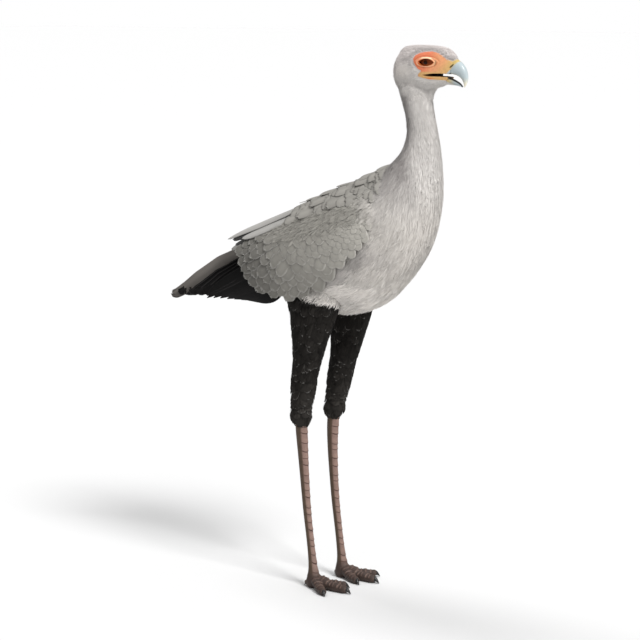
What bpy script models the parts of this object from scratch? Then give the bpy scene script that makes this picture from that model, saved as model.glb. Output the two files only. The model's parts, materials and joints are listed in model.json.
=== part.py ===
"""A secretary bird, life size, standing still with folded wings and its bill a little open.

Metres. +X runs towards the bill, +Y to the bird's left, +Z up. The origin is on the floor under the
middle of the bird's box. The tables give X from a line between the ankles, ORIGIN_X behind that middle,
and every part is moved by ORIGIN_X at the end. Each part is one closed body, and neighbours that touch
keep GAP between their faces.
"""

import math
import random

import bmesh
import bpy
import numpy as np
from mathutils import Matrix, Vector
from mathutils.bvhtree import BVHTree

ORIGIN_X = 0.0713
GAP = 0.0003

# Legs
ANKLE_Z = 0.034  # where the tarsus meets the foot
HEEL_Z = 0.338  # where the feathered thigh ends on the tarsus
HEEL_SLANT = 0.006  # the thigh's end reaches this much lower in front than at the side
LEG = (  # the middle line of one leg: Z, X, Y outwards
    (0.030, -0.0315, 0.0495),
    (0.060, -0.0350, 0.0492),
    (0.100, -0.0405, 0.0490),
    (0.160, -0.0485, 0.0490),
    (0.220, -0.0540, 0.0493),
    (0.280, -0.0580, 0.0505),
    (0.330, -0.0592, 0.0535),
    (0.370, -0.0575, 0.0580),
    (0.400, -0.0520, 0.0600),
    (0.440, -0.0455, 0.0622),
    (0.480, -0.0365, 0.0635),
    (0.520, -0.0285, 0.0650),
    (0.570, -0.0190, 0.0620),
    (0.640, -0.0080, 0.0560),
)
THIGH = (  # Z, half width across, half depth fore and aft
    (0.3383, 0.0112, 0.0138),
    (0.3480, 0.0165, 0.0200),
    (0.3670, 0.0200, 0.0248),
    (0.3890, 0.0212, 0.0252),
    (0.4250, 0.0235, 0.0285),
    (0.4620, 0.0252, 0.0300),
    (0.5000, 0.0280, 0.0355),
    (0.5350, 0.0295, 0.0420),
    (0.5700, 0.0300, 0.0500),
    (0.6400, 0.0280, 0.0560),
)
TARSUS = (  # Z, half width across, half depth fore and aft
    (0.0340, 0.0100, 0.0115),
    (0.0500, 0.0080, 0.0098),
    (0.0900, 0.0070, 0.0086),
    (0.1500, 0.0073, 0.0090),
    (0.2200, 0.0082, 0.0101),
    (0.2800, 0.0094, 0.0118),
    (0.3200, 0.0104, 0.0134),
    (0.3380, 0.0108, 0.0138),
)
TARSUS_SCUTES = 15  # plates down the front of each tarsus
SCUTE_RISE = 0.0010  # how far a plate's free edge stands over the next one
# Each toe: name, tip X from the leg, tip Y outwards from the leg, root radius, tip radius, plates, claw
TOES = (
    ("middle", 0.086, 0.000, 0.0108, 0.0086, 6, 0.012),
    ("outer", 0.058, 0.042, 0.0098, 0.0080, 5, 0.010),
    ("inner", 0.061, -0.030, 0.0098, 0.0080, 5, 0.010),
    ("hind", -0.016, 0.002, 0.0088, 0.0068, 2, 0.007),
)

# The folded wings lie on a slanted envelope round the trunk. It has its own frame: XI runs back and
# down along the trunk from WITHERS, ETA across it and up, and PHI round it from the back's ridge. A
# place on it is given as XI and ARC, the distance round from the ridge, which is ARC_RADIUS times PHI.
WITHERS = (0.140, 0.790)
TRUNK_PITCH = math.radians(23.0)
ARC_RADIUS = 0.113
ENVELOPE = (  # XI, half width, half height, ETA of the middle
    (-0.060, 0.060, 0.100, -0.012),
    (-0.020, 0.080, 0.112, -0.021),
    (0.030, 0.098, 0.117, -0.027),
    (0.100, 0.108, 0.121, -0.029),
    (0.200, 0.109, 0.123, -0.030),
    (0.300, 0.099, 0.114, -0.021),
    (0.400, 0.078, 0.080, 0.010),
    (0.500, 0.054, 0.052, 0.022),
    (0.640, 0.030, 0.034, 0.022),
)
ARM_OUTLINE = (  # the folded arm under the feathers: XI, upper and lower PHI in degrees
    (-0.004, 72, 84),
    (0.008, 56, 90),
    (0.030, 39, 98),
    (0.060, 25, 105),
    (0.090, 15, 112),
    (0.130, 6, 118),
    (0.170, 3, 123),
    (0.215, 3, 122),
    (0.250, 3, 112),
    (0.280, 3, 96),
    (0.310, 3, 78),
    (0.340, 3, 56),
    (0.370, 3, 34),
    (0.388, 3, 16),
)
ARM_DEPTH = 0.0015  # the arm's surface lies this far under the envelope
ARM_THICKNESS = 0.014
COVERT_FAN = (0.060, 0.100)  # XI, ARC of the point that the coverts spread from
COVERT_EDGE = (  # XI, ARC of the line through the greater coverts' tips, from the back round to the flank
    (0.388, 0.092),
    (0.364, 0.138),
    (0.336, 0.176),
    (0.310, 0.203),
    (0.282, 0.224),
    (0.250, 0.243),
    (0.212, 0.2500),
    (0.166, 0.2470),
)
# Each row of coverts: its tips' distance from that point as a share of the edge's, count, and the
# feathers' length as a share of the same and their width
COVERT_ROWS = (
    (1.00, 9, 0.30, 0.034),
    (0.76, 6, 0.28, 0.036),
    (0.53, 4, 0.26, 0.036),
)
REMIGES = 6
# XI, ARC of the roots and of the tips, spread evenly along each line
REMEX_ROOTS = ((0.165, 0.214), (0.280, 0.160), (0.318, 0.124))
REMEX_TIPS = ((0.330, 0.260), (0.517, 0.266), (0.488, 0.226))
REMEX_WIDTH = 0.024
SCAPULAR_LENGTH = 0.084
SCAPULAR_WIDTH = 0.036
TERTIAL_TIPS = ((0.430, 0.030), (0.408, 0.056), (0.382, 0.082))
TERTIAL_LENGTH = 0.160
TERTIAL_WIDTH = 0.030
VANE_THICKNESS = 0.0009

TAIL_FEATHERS = 6  # on each side
TAIL_ROOT = (0.418, 0.052)  # XI, ETA of the middle pair's roots
TAIL_TIP = (0.6274, 0.0300)
TAIL_SIDE_TIP = (0.553, -0.006)  # of the outermost pair
TAIL_SPREAD = (0.006, 0.018, 0.029, 0.038, 0.046, 0.052)  # each pair's tips from the middle plane
TAIL_WIDTH = 0.033

# Cross sections of trunk and neck: dorsal point X Z, ventral point X Z, half width
TRUNK = (
    (-0.266, 0.696, -0.252, 0.664, 0.016),
    (-0.215, 0.727, -0.185, 0.634, 0.044),
    (-0.160, 0.755, -0.120, 0.604, 0.070),
    (-0.105, 0.781, -0.060, 0.585, 0.086),
    (-0.050, 0.806, 0.000, 0.575, 0.095),
    (0.000, 0.825, 0.055, 0.579, 0.099),
    (0.050, 0.844, 0.110, 0.603, 0.097),
    (0.092, 0.861, 0.160, 0.649, 0.091),
    (0.124, 0.878, 0.205, 0.712, 0.081),
    (0.150, 0.901, 0.228, 0.780, 0.066),
    (0.1645, 0.920, 0.235, 0.845, 0.051),
)
NECK = (
    (0.1645, 0.920, 0.235, 0.845, 0.051),
    (0.1715, 0.945, 0.2350, 0.905, 0.0375),
    (0.1700, 0.971, 0.2290, 0.956, 0.0300),
    (0.1645, 0.993, 0.2235, 0.985, 0.0288),
    (0.1585, 1.013, 0.2200, 1.003, 0.0300),
)
NAPE = (
    (0.1585, 1.013, 0.2200, 1.003, 0.0300),
    (0.1500, 1.034, 0.2190, 1.022, 0.0300),
    (0.1455, 1.056, 0.2190, 1.040, 0.0275),
)
# Cross sections of the skull: crown point X Z, throat point X Z, half width
SKULL = (
    (0.1385, 1.072, 0.1390, 1.062, 0.006),
    (0.1425, 1.092, 0.1450, 1.041, 0.020),
    (0.1560, 1.110, 0.1620, 1.028, 0.0290),
    (0.1800, 1.1195, 0.1860, 1.026, 0.0325),
    (0.2060, 1.1220, 0.2080, 1.030, 0.0320),
    (0.2310, 1.1205, 0.2270, 1.036, 0.0285),
    (0.2575, 1.1155, 0.2430, 1.0410, 0.0225),
    (0.2740, 1.1065, 0.2540, 1.0440, 0.0168),
    (0.2835, 1.0945, 0.2607, 1.0455, 0.0125),
)
# The upper bill from the cere's edge to its hooked tip: culmen point X Z, cutting edge X Z, half width
UPPER_BILL = (
    (0.2835, 1.0945, 0.2705, 1.0666, 0.0122),
    (0.2945, 1.0870, 0.2790, 1.0650, 0.0108),
    (0.3020, 1.0775, 0.2864, 1.0622, 0.0088),
    (0.3060, 1.0665, 0.2920, 1.0585, 0.0066),
    (0.3065, 1.0565, 0.2962, 1.0525, 0.0046),
    (0.3038, 1.0480, 0.2981, 1.0468, 0.0028),
    (0.2998, 1.0415, 0.2988, 1.0413, 0.0008),
)
# The lower bill: its cutting edge X Z, underside X Z, half width
LOWER_BILL = (
    (0.2669, 1.0590, 0.2607, 1.0457, 0.0105),
    (0.2745, 1.0568, 0.2690, 1.0452, 0.0088),
    (0.2830, 1.0530, 0.2795, 1.0448, 0.0068),
    (0.2900, 1.0490, 0.2880, 1.0437, 0.0045),
    (0.2955, 1.0437, 0.2945, 1.0415, 0.0018),
)
MOUTH = ((0.2187, 1.0658), (0.3000, 1.0670), (0.3000, 1.0545))  # the gape's corner and the opening in front
EYE = (0.2269, 0.0172, 1.0889)  # X, Y outwards, Z
EYE_RADII = (0.0155, 0.0125, 0.0108)
LID_OPENING = (0.0140, 0.0084)  # half length and half height between the lids
LID_RADIUS = (0.0013, 0.0020)  # of the lower lid and the upper one
NOSTRIL = (0.2722, 0.0105, 1.0822)
NOSTRIL_RADII = (0.0052, 0.0014, 0.0040)  # along the slit, across it and into the cere
NOSTRIL_SLOPE = math.radians(52)

BODY_SEGMENTS = 20
BILL_SEGMENTS = 12
LEG_SEGMENTS = 10


def clear_scene():
    """Empties the scene of every object, mesh and material."""
    for obj in list(bpy.data.objects):
        bpy.data.objects.remove(obj)
    for mesh in list(bpy.data.meshes):
        bpy.data.meshes.remove(mesh)


def collection(name):
    """A collection of the scene's, made where it isn't there yet."""
    found = bpy.data.collections.get(name)
    if found is None:
        found = bpy.data.collections.new(name)
        bpy.context.scene.collection.children.link(found)
    return found


def material(name, colour, roughness):
    """A plain Principled material."""
    made = bpy.data.materials.new(name)
    made.use_nodes = True
    shader = made.node_tree.nodes["Principled BSDF"]
    shader.inputs["Base Color"].default_value = (*colour, 1.0)
    shader.inputs["Roughness"].default_value = roughness
    shader.inputs["Metallic"].default_value = 0.0
    made.diffuse_color = (*colour, 1.0)
    return made


def interpolated(table, place):
    """The table's other columns at a value of its first, which rises."""
    rows = np.array(table, float)
    return [float(np.interp(place, rows[:, 0], rows[:, k])) for k in range(1, rows.shape[1])]


def smooth_rows(rows, per_span):
    """Catmull-Rom curve through the rows of a table, with per_span new rows to each span."""
    points = np.asarray(rows, float)
    ends = np.vstack([2 * points[0] - points[1], points, 2 * points[-1] - points[-2]])
    found = []
    for i in range(1, len(points)):
        a, b, c, d = ends[i - 1 : i + 3]
        for t in np.arange(per_span) / per_span:
            bend = (2 * a - 5 * b + 4 * c - d) * t**2 + (3 * b - a - 3 * c + d) * t**3
            found.append(0.5 * (2 * b + (c - a) * t + bend))
    found.append(points[-1])
    return np.array(found)


def section_rings(rows, segments, grow=0.0):
    """Elliptic rings, each in the plane through its dorsal and ventral points and square to the middle plane."""
    turn = np.arange(segments) * 2 * math.pi / segments
    rings = []
    for top_x, top_z, low_x, low_z, half_width in rows:
        top = np.array([top_x, 0.0, top_z])
        low = np.array([low_x, 0.0, low_z])
        rise = (top - low) / 2
        rise *= 1 + grow / np.linalg.norm(rise)
        side = np.array([0.0, half_width + grow, 0.0])
        rings.append((top + low) / 2 + np.outer(np.cos(turn), rise) + np.outer(np.sin(turn), side))
    return np.array(rings)


def link(name, mesh, dressing):
    """An object of the mesh: a part where it has a material, or else a cutter or a piece of a part."""
    obj = bpy.data.objects.new(name, mesh)
    if dressing is None:
        obj.hide_render = True
        obj.display_type = "WIRE"
        collection("cutters").objects.link(obj)
    else:
        mesh.materials.append(dressing)
        collection("secretary_bird").objects.link(obj)
    return obj


def solid(name, points, faces, dressing=None):
    """A mesh object whose faces point outwards."""
    corners = np.asarray(points, float)[np.asarray(faces)]
    volume = np.einsum("ij,ij->i", corners[:, 0], np.cross(corners[:, 1], corners[:, 2])).sum()
    if volume < 0:
        faces = [tuple(reversed(face)) for face in faces]
    mesh = bpy.data.meshes.new(name)
    mesh.from_pydata([tuple(p) for p in points], [], [tuple(int(v) for v in f) for f in faces])
    return link(name, mesh, dressing)


def loft(name, rings, dressing=None):
    """A solid through rings of equal count, capped at both ends."""
    rings = np.asarray(rings)
    count, around = rings.shape[:2]
    points = [*rings.reshape(-1, 3), rings[0].mean(0), rings[-1].mean(0)]
    first, last = count * around, count * around + 1
    faces = []
    for i in range(count - 1):
        for j in range(around):
            k = (j + 1) % around
            a, b, c, d = i * around + j, i * around + k, (i + 1) * around + k, (i + 1) * around + j
            faces += [(a, b, c), (a, c, d)]
    for j in range(around):
        k = (j + 1) % around
        faces.append((first, k, j))
        faces.append((last, (count - 1) * around + j, (count - 1) * around + k))
    return solid(name, points, faces, dressing)


def hoop(name, rings):
    """A closed tube through rings of equal count, where the last one meets the first."""
    rings = np.asarray(rings)
    count, around = rings.shape[:2]
    faces = []
    for i in range(count):
        m = (i + 1) % count
        for j in range(around):
            k = (j + 1) % around
            a, b, c, d = i * around + j, i * around + k, m * around + k, m * around + j
            faces += [(a, b, c), (a, c, d)]
    return solid(name, rings.reshape(-1, 3), faces)


def ellipsoid(name, centre, radii, dressing=None, tilt=0.0, segments=12, rings=7):
    """An ellipsoid, tilted round the Y axis."""
    shell = bmesh.new()
    place = Matrix.Translation(centre) @ Matrix.Rotation(tilt, 4, "Y") @ Matrix.Diagonal((*radii, 1.0))
    bmesh.ops.create_uvsphere(shell, u_segments=segments, v_segments=rings, radius=1.0, matrix=place)
    mesh = bpy.data.meshes.new(name)
    shell.to_mesh(mesh)
    shell.free()
    return link(name, mesh, dressing)


def islands_of(shell):
    """Lists of the vertices of each connected piece of a bmesh."""
    found, seen = [], set()
    for start in shell.verts:
        if start in seen:
            continue
        seen.add(start)
        island, queue = [], [start]
        while queue:
            vertex = queue.pop()
            island.append(vertex)
            fresh = {edge.other_vert(vertex) for edge in vertex.link_edges} - seen
            seen |= fresh
            queue.extend(fresh)
        found.append(island)
    return found


def applied(obj):
    """Applies an object's modifiers, keeping only its largest closed surface."""
    graph = bpy.context.evaluated_depsgraph_get()
    mesh = bpy.data.meshes.new_from_object(obj.evaluated_get(graph))
    obj.modifiers.clear()
    obj.data = mesh
    shell = bmesh.new()
    shell.from_mesh(mesh)

    def size(island):
        points = np.array([vertex.co for vertex in island])
        return float(np.linalg.norm(points.max(0) - points.min(0)))

    for island in sorted(islands_of(shell), key=size)[:-1]:
        bmesh.ops.delete(shell, geom=island, context="VERTS")
    bmesh.ops.triangulate(shell, faces=shell.faces)
    shell.to_mesh(mesh)
    shell.free()
    return obj


def joined(obj, pieces):
    """One body from obj and the pieces, which are then removed."""
    group = bpy.data.collections.new(obj.name + "_pieces")
    for piece in pieces:
        group.objects.link(piece)
    union = obj.modifiers.new("join", "BOOLEAN")
    union.operation = "UNION"
    union.operand_type = "COLLECTION"
    union.collection = group
    union.solver = "EXACT"
    applied(obj)
    for piece in pieces:
        bpy.data.objects.remove(piece)
    bpy.data.collections.remove(group)
    return obj


def cut(obj, cutters):
    """Takes each cutter's volume out of obj, and removes the cutter."""
    for cutter in cutters:
        difference = obj.modifiers.new("cut", "BOOLEAN")
        difference.operation = "DIFFERENCE"
        difference.object = cutter
        difference.solver = "EXACT"
        applied(obj)
        bpy.data.objects.remove(cutter)
    return obj


def backed_off(rows):
    """Section rows with the first one moved by GAP towards the next, square to its own plane."""
    rows = np.array(rows, float)
    along = rows[0, 2:4] - rows[0, 0:2]
    square = np.array([-along[1], along[0]]) / np.linalg.norm(along)
    if square @ (rows[1, 0:2] - rows[0, 0:2]) < 0:
        square = -square
    rows[0, 0:2] += square * GAP
    rows[0, 2:4] += square * GAP
    return rows


def trunk_rings(grow=0.0):
    """The trunk's rings, or with grow those of the hollow that its neighbours leave for it."""
    return section_rings(smooth_rows(TRUNK, 2), BODY_SEGMENTS, grow)


def slanted(xi, y, eta):
    """A point given in the envelope's own frame."""
    along = np.array([-math.cos(TRUNK_PITCH), 0.0, -math.sin(TRUNK_PITCH)])
    across = np.array([-math.sin(TRUNK_PITCH), 0.0, math.cos(TRUNK_PITCH)])
    return np.array([WITHERS[0], y, WITHERS[1]]) + xi * along + eta * across


def envelope_point(side, xi, arc, height=0.0):
    """A point height above the envelope, on side -1 or +1, and never across the middle plane."""
    width, half, middle = interpolated(ENVELOPE, xi)
    phi = arc / ARC_RADIUS
    y = max((width + height) * math.sin(phi), 2 * GAP)
    return slanted(xi, side * y, middle + (half + height) * math.cos(phi))


def make_trunk(dressing):
    """The body from the rump to the foot of the neck."""
    return loft("torso", trunk_rings(), dressing)


def make_neck(dressing):
    """The neck, from the trunk's cut to the nape's."""
    rows = backed_off(smooth_rows(NECK, 2))
    rows = backed_off(rows[::-1])
    return loft("neck", section_rings(rows, BODY_SEGMENTS), dressing)


def lid_line(turn, scale=1.0):
    """The almond between the lids, as X and Z from the eye's middle."""
    length, height = LID_OPENING
    along = math.cos(turn)
    return scale * length * along, scale * height * math.copysign((1 - along**2) ** 0.85, math.sin(turn))


def make_lids(side, skin):
    """Both lids of one eye, a rim on the skin round the almond opening. It tapers to the eye's corners."""
    rings = []
    for turn in np.arange(12) * 2 * math.pi / 12:
        x, z = lid_line(turn, 1.07)
        ray = Vector((EYE[0] + x, side * 0.06, EYE[2] + z))
        spot = skin.ray_cast(ray, Vector((0, -side, 0)))[0]
        lift = max(0.0, math.sin(turn))
        radius = (LID_RADIUS[0] + (LID_RADIUS[1] - LID_RADIUS[0]) * lift) * (0.62 + 0.38 * abs(math.sin(turn)))
        outward = np.array([x * LID_OPENING[1] / LID_OPENING[0], 0.0, z * 1.5])
        outward /= np.linalg.norm(outward)
        around = np.arange(4) * 2 * math.pi / 4
        ring = np.outer(np.cos(around), outward) + np.outer(np.sin(around), [0.0, side, 0.0])
        rings.append(np.array(spot) + radius * ring)
    return hoop("lids", rings)


def eye_opening(side):
    """The cutter that opens the skin over one eyeball, wider towards the outside."""
    rings = []
    for y, scale in ((0.0150, 0.80), (0.0230, 0.94), (0.0290, 1.0), (0.0400, 1.12)):
        outline = [lid_line(turn, scale) for turn in (np.arange(12) + 0.5) * 2 * math.pi / 12]
        rings.append([(EYE[0] + x, side * y, EYE[2] + z) for x, z in outline])
    return loft("eye_opening", rings)


def make_head(dressing):
    """Skull and face with lids, eye sockets, nostrils and the cleft of the mouth."""
    skull = loft("head", section_rings(smooth_rows(SKULL, 2), BODY_SEGMENTS), dressing)
    skin = BVHTree.FromPolygons([v.co for v in skull.data.vertices], [p.vertices for p in skull.data.polygons])
    nape = loft("nape", section_rings(NAPE, BODY_SEGMENTS))
    joined(skull, [nape, make_lids(-1, skin), make_lids(1, skin)])
    mouth = loft("mouth", [[(x, y, z) for x, z in MOUTH] for y in (-0.04, 0.04)])
    cutters = [mouth]
    for side in (-1, 1):
        centre = (EYE[0], side * EYE[1], EYE[2])
        nostril = (NOSTRIL[0], side * NOSTRIL[1], NOSTRIL[2])
        length, width, depth = NOSTRIL_RADII
        cutters += [
            ellipsoid("socket", centre, [radius + GAP for radius in EYE_RADII]),
            eye_opening(side),
            ellipsoid("nostril", nostril, (length, depth, width), None, -NOSTRIL_SLOPE, 8, 5),
        ]
    return cut(skull, cutters)


def make_bill(dressing):
    """The horn of both jaws, each a part of its own."""
    for name, rows in (("bill_upper", UPPER_BILL), ("bill_lower", LOWER_BILL)):
        loft(name, section_rings(backed_off(smooth_rows(rows, 2)), BILL_SEGMENTS), dressing)


def make_eyes(dressing):
    """Two eyeballs."""
    for side, name in ((-1, "eye_right"), (1, "eye_left")):
        ellipsoid(name, (EYE[0], side * EYE[1], EYE[2]), EYE_RADII, dressing)


# Share of the length, share of the width, share of the rise from root to tip
SHORT_VANE = ((0.0, 0.50, 0.0), (0.25, 0.82, 0.74), (0.80, 1.0, 0.95), (1.0, 0.30, 1.0))
LONG_VANE = ((0.0, 0.50, 0.0), (0.12, 0.75, 0.74), (0.55, 1.0, 0.9), (0.88, 0.90, 0.98), (1.0, 0.22, 1.0))
TAIL_VANE = ((0.0, 0.5), (0.25, 0.85), (0.6, 1.0), (0.94, 0.92), (1.0, 0.50))
FLIGHT_VANE = ((0.0, 0.70, 0.0), (0.35, 1.0, 0.35), (0.70, 1.0, 0.7), (0.92, 0.80, 0.92), (1.0, 0.24, 1.0))


def vane(name, spine, normals, widths, lean, thickness=VANE_THICKNESS):
    """A feather's vane as a plank along its spine, leant so that its lower edge stands out by lean.

    Both faces are split along the same diagonals, so that they can't cross where the vane curves.
    """
    spine = np.asarray(spine, float)
    along = np.gradient(spine, axis=0)
    along /= np.linalg.norm(along, axis=1)[:, None]
    across = np.cross(along, normals)
    across /= np.linalg.norm(across, axis=1)[:, None]
    upright = np.cross(across, along)
    half = np.asarray(widths)[:, None] / 2
    tip = np.linspace(0, 1, len(spine))[:, None]
    thick = upright * thickness * (1 - 0.35 * tip) / 2
    raised = upright * lean * half / half.max()
    left = spine - across * half - raised
    right = spine + across * half + raised
    rings = np.stack([left + thick, right + thick, right - thick, left - thick], axis=1)
    count = len(spine)
    faces = [(0, 2, 1), (0, 3, 2), (4 * count - 4, 4 * count - 3, 4 * count - 2)]
    faces.append((4 * count - 4, 4 * count - 2, 4 * count - 1))
    for i in range(count - 1):
        for j in range(4):
            k = (j + 1) % 4
            a, b, c, d = 4 * i + j, 4 * i + k, 4 * i + 4 + k, 4 * i + 4 + j
            faces += [(a, b, d), (b, c, d)] if j == 2 else [(a, b, c), (a, c, d)]
    return solid(name, rings.reshape(-1, 3), faces)


def wing_vane(side, root, tip, width, heights, lean, shape=SHORT_VANE):
    """A vane on the envelope from root to tip, each XI and ARC, with its height over it at both ends."""
    spine, normals = [], []
    for t, _, rise in shape:
        xi = root[0] + (tip[0] - root[0]) * t
        arc = root[1] + (tip[1] - root[1]) * t
        height = heights[0] + (heights[1] - heights[0]) * rise
        spine.append(envelope_point(side, xi, arc, height))
        normals.append(envelope_point(side, xi, arc, height + 0.01) - spine[-1])
    widths = [width * share for _, share, _ in shape]
    return vane("vane", spine, np.array(normals) * side, widths, side * lean)


def spaced(line, count):
    """Points at equal distances along a line of points, from its first to its last."""
    line = np.array(line)
    run = np.concatenate([[0], np.cumsum(np.linalg.norm(np.diff(line, axis=0), axis=1))])
    places = np.linspace(0, run[-1], count)
    return np.stack([np.interp(places, run, line[:, k]) for k in (0, 1)], -1)


def covert_vanes(side, draw):
    """Rows of coverts that spread over the folded arm."""
    centre = np.array(COVERT_FAN)
    vanes = []
    for share, count, length, width in COVERT_ROWS:
        for edge in spaced(COVERT_EDGE, count):
            tip = centre + share * (edge - centre) * draw.uniform(0.985, 1.015)
            root = tip - (edge - centre) * length
            vanes.append(wing_vane(side, root, tip, width * draw.uniform(0.97, 1.03), (-0.0060, 0.0024), 0.0012))
    return vanes


def remex_vanes(side):
    """The long black flight feathers, fanned out from under the coverts."""
    vanes = []
    roots, tips = (spaced(line, REMIGES) for line in (REMEX_ROOTS, REMEX_TIPS))
    for i, (root, tip) in enumerate(zip(roots, tips)):
        height = -0.0086 + 0.0052 * i / (REMIGES - 1)
        vanes.append(wing_vane(side, root, tip, REMEX_WIDTH, (height, height), 0.0012, FLIGHT_VANE))
    return vanes


def scapular_vanes(side, draw):
    """Broad flaps from the shoulder blade, between the back's ridge and the coverts."""
    tops = [(xi, math.radians(top) * ARC_RADIUS) for xi, top, _ in ARM_OUTLINE]
    vanes = []
    for row in range(4):
        tip_xi = 0.105 + 0.070 * row
        reach = 0.146 - 0.229 * (tip_xi - 0.035)
        count = max(3, round((reach - 0.018) / 0.034) + 1)
        for arc in np.linspace(0.019, reach, count):
            root = (tip_xi - SCAPULAR_LENGTH, arc - 0.002)
            if root[1] < interpolated(tops, root[0])[0] + 0.006:
                continue
            tip = (tip_xi + draw.uniform(-0.006, 0.006), arc + 0.004)
            vanes.append(wing_vane(side, root, tip, SCAPULAR_WIDTH, (-0.0060, 0.0042), 0.0012))
    return vanes


def tertial_vanes(side):
    """Three long planks over the rump."""
    vanes = []
    for i, (xi, arc) in enumerate(TERTIAL_TIPS):
        heights = (-0.0060, 0.0062 - 0.0016 * i)
        vanes.append(wing_vane(side, (xi - TERTIAL_LENGTH, arc), (xi, arc), TERTIAL_WIDTH, heights, 0.0012, LONG_VANE))
    return vanes


def make_arm(side, name, dressing):
    """The folded arm and its skin, a slab that the wing's feathers are rooted in."""
    rings = []
    for xi in np.linspace(ARM_OUTLINE[0][0], ARM_OUTLINE[-1][0], 13):
        top, low = (math.radians(edge) * ARC_RADIUS for edge in interpolated(ARM_OUTLINE, xi))
        place = np.linspace(0, 1, 9)
        full = np.minimum(1.0, 4 * np.minimum(place, 1 - place) + 0.5)
        ends = min(1.0, 0.35 + (xi + 0.004) / 0.04)
        arcs = top + (low - top) * place
        outer = [envelope_point(side, xi, a, -ARM_DEPTH - 0.003 * (1 - f)) for a, f in zip(arcs, full)]
        deep = -ARM_DEPTH - 0.006
        inner = [envelope_point(side, xi, a, deep - (ARM_THICKNESS - 0.006) * f * ends) for a, f in zip(arcs, full)]
        rings.append(outer + inner[::-1])
    return loft(name, rings, dressing)


def make_wing(side, name, dressing):
    """One folded wing with its tiers of feathers, shaped to the trunk and the thigh that it lies on."""
    draw = random.Random(5)
    wing = make_arm(side, name, dressing)
    joined(wing, covert_vanes(side, draw) + remex_vanes(side) + scapular_vanes(side, draw) + tertial_vanes(side))
    return cut(wing, [loft("trunk_hollow", trunk_rings(GAP)), loft("thigh_hollow", limb_rings(side, THIGH, GAP))])


def make_tail(dressing):
    """The closed tail: a stump on the rump with pairs of long vanes, each pair under the one inside it."""
    turn = np.arange(12) * 2 * math.pi / 12
    rings = []
    for xi, eta, width, height in (
        (0.396, 0.054, 0.018, 0.0115),
        (0.412, 0.053, 0.024, 0.0130),
        (0.435, 0.0495, 0.027, 0.0115),
        (0.465, 0.0455, 0.026, 0.0070),
    ):
        rings.append([slanted(xi, width * math.sin(a), eta + height * math.cos(a)) for a in turn])
    stump = loft("tail", rings, dressing)
    vanes = []
    for side in (-1, 1):
        for i in range(TAIL_FEATHERS):
            share = i / (TAIL_FEATHERS - 1)
            under = 0.0024 * i + (0.0012 if side > 0 else 0.0)
            root = slanted(TAIL_ROOT[0] + 0.004 * i, side * (0.004 + 0.0032 * i), TAIL_ROOT[1] - under)
            tip_xi = TAIL_TIP[0] + (TAIL_SIDE_TIP[0] - TAIL_TIP[0]) * share
            tip_eta = TAIL_TIP[1] + (TAIL_SIDE_TIP[1] - TAIL_TIP[1]) * share - (0.0012 if side > 0 else 0.0)
            tip = slanted(tip_xi, side * TAIL_SPREAD[i], tip_eta)
            part = np.array([t for t, _ in TAIL_VANE])[:, None]
            spine = root + (tip - root) * part
            roof = slanted(0, side * 0.45 * share, 1.0) - slanted(0, 0, 0)
            widths = [TAIL_WIDTH * (1 - 0.12 * share) * width for _, width in TAIL_VANE]
            vanes.append(vane("vane", spine, np.tile(roof, (len(spine), 1)), widths, 0.0))
    joined(stump, vanes)
    return cut(stump, [loft("trunk_hollow", trunk_rings(GAP))])


def leg_point(side, height):
    """A point on the middle line of one leg."""
    x, y = interpolated(LEG, height)
    return np.array([x, side * y, height])


def limb_rings(side, rows, grow=0.0):
    """Level ellipses round the leg's middle line, one to each row: Z, half width and half depth."""
    turn = np.arange(LEG_SEGMENTS) * 2 * math.pi / LEG_SEGMENTS
    rings = []
    for z, width, depth in rows:
        ring = np.stack([(depth + grow) * np.cos(turn), (width + grow) * np.sin(turn), np.zeros(LEG_SEGMENTS)], -1)
        rings.append(leg_point(side, z) + ring)
    return np.array(rings)


def heel_slant(rings, place):
    """Tilts one ring, lower in front."""
    middle = rings[place, :, 0].mean()
    reach = np.abs(rings[place, :, 0] - middle).max()
    rings[place, :, 2] -= HEEL_SLANT * (rings[place, :, 0] - middle) / reach
    return rings


def make_thigh(side, name, dressing):
    """The feathered shank from the belly to the heel joint."""
    thigh = loft(name, heel_slant(limb_rings(side, THIGH), 0), dressing)
    return cut(thigh, [loft("trunk_hollow", trunk_rings(GAP))])


def make_tarsus(side, name, dressing):
    """The bare shank below the heel, with plates down its front that overlap downwards."""
    edges = np.linspace(HEEL_Z - GAP, ANKLE_Z, TARSUS_SCUTES + 1)
    heights = [edges[0]]
    rises = [0.0]
    for edge in edges[1:-1]:
        heights += [edge + 0.0012, edge - 0.0004]
        rises += [SCUTE_RISE, 0.0]
    heights.append(edges[-1])
    rises.append(SCUTE_RISE)
    rows = [(z, *interpolated(TARSUS, z)) for z in heights]
    rings = limb_rings(side, rows)
    for ring, rise in zip(rings, rises):
        away = ring - ring.mean(0)
        away /= np.linalg.norm(away, axis=1)[:, None]
        ring += away * rise * np.clip(away[:, :1] * 1.6, 0, 1)
    return loft(name, heel_slant(rings, 0), dressing)


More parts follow.
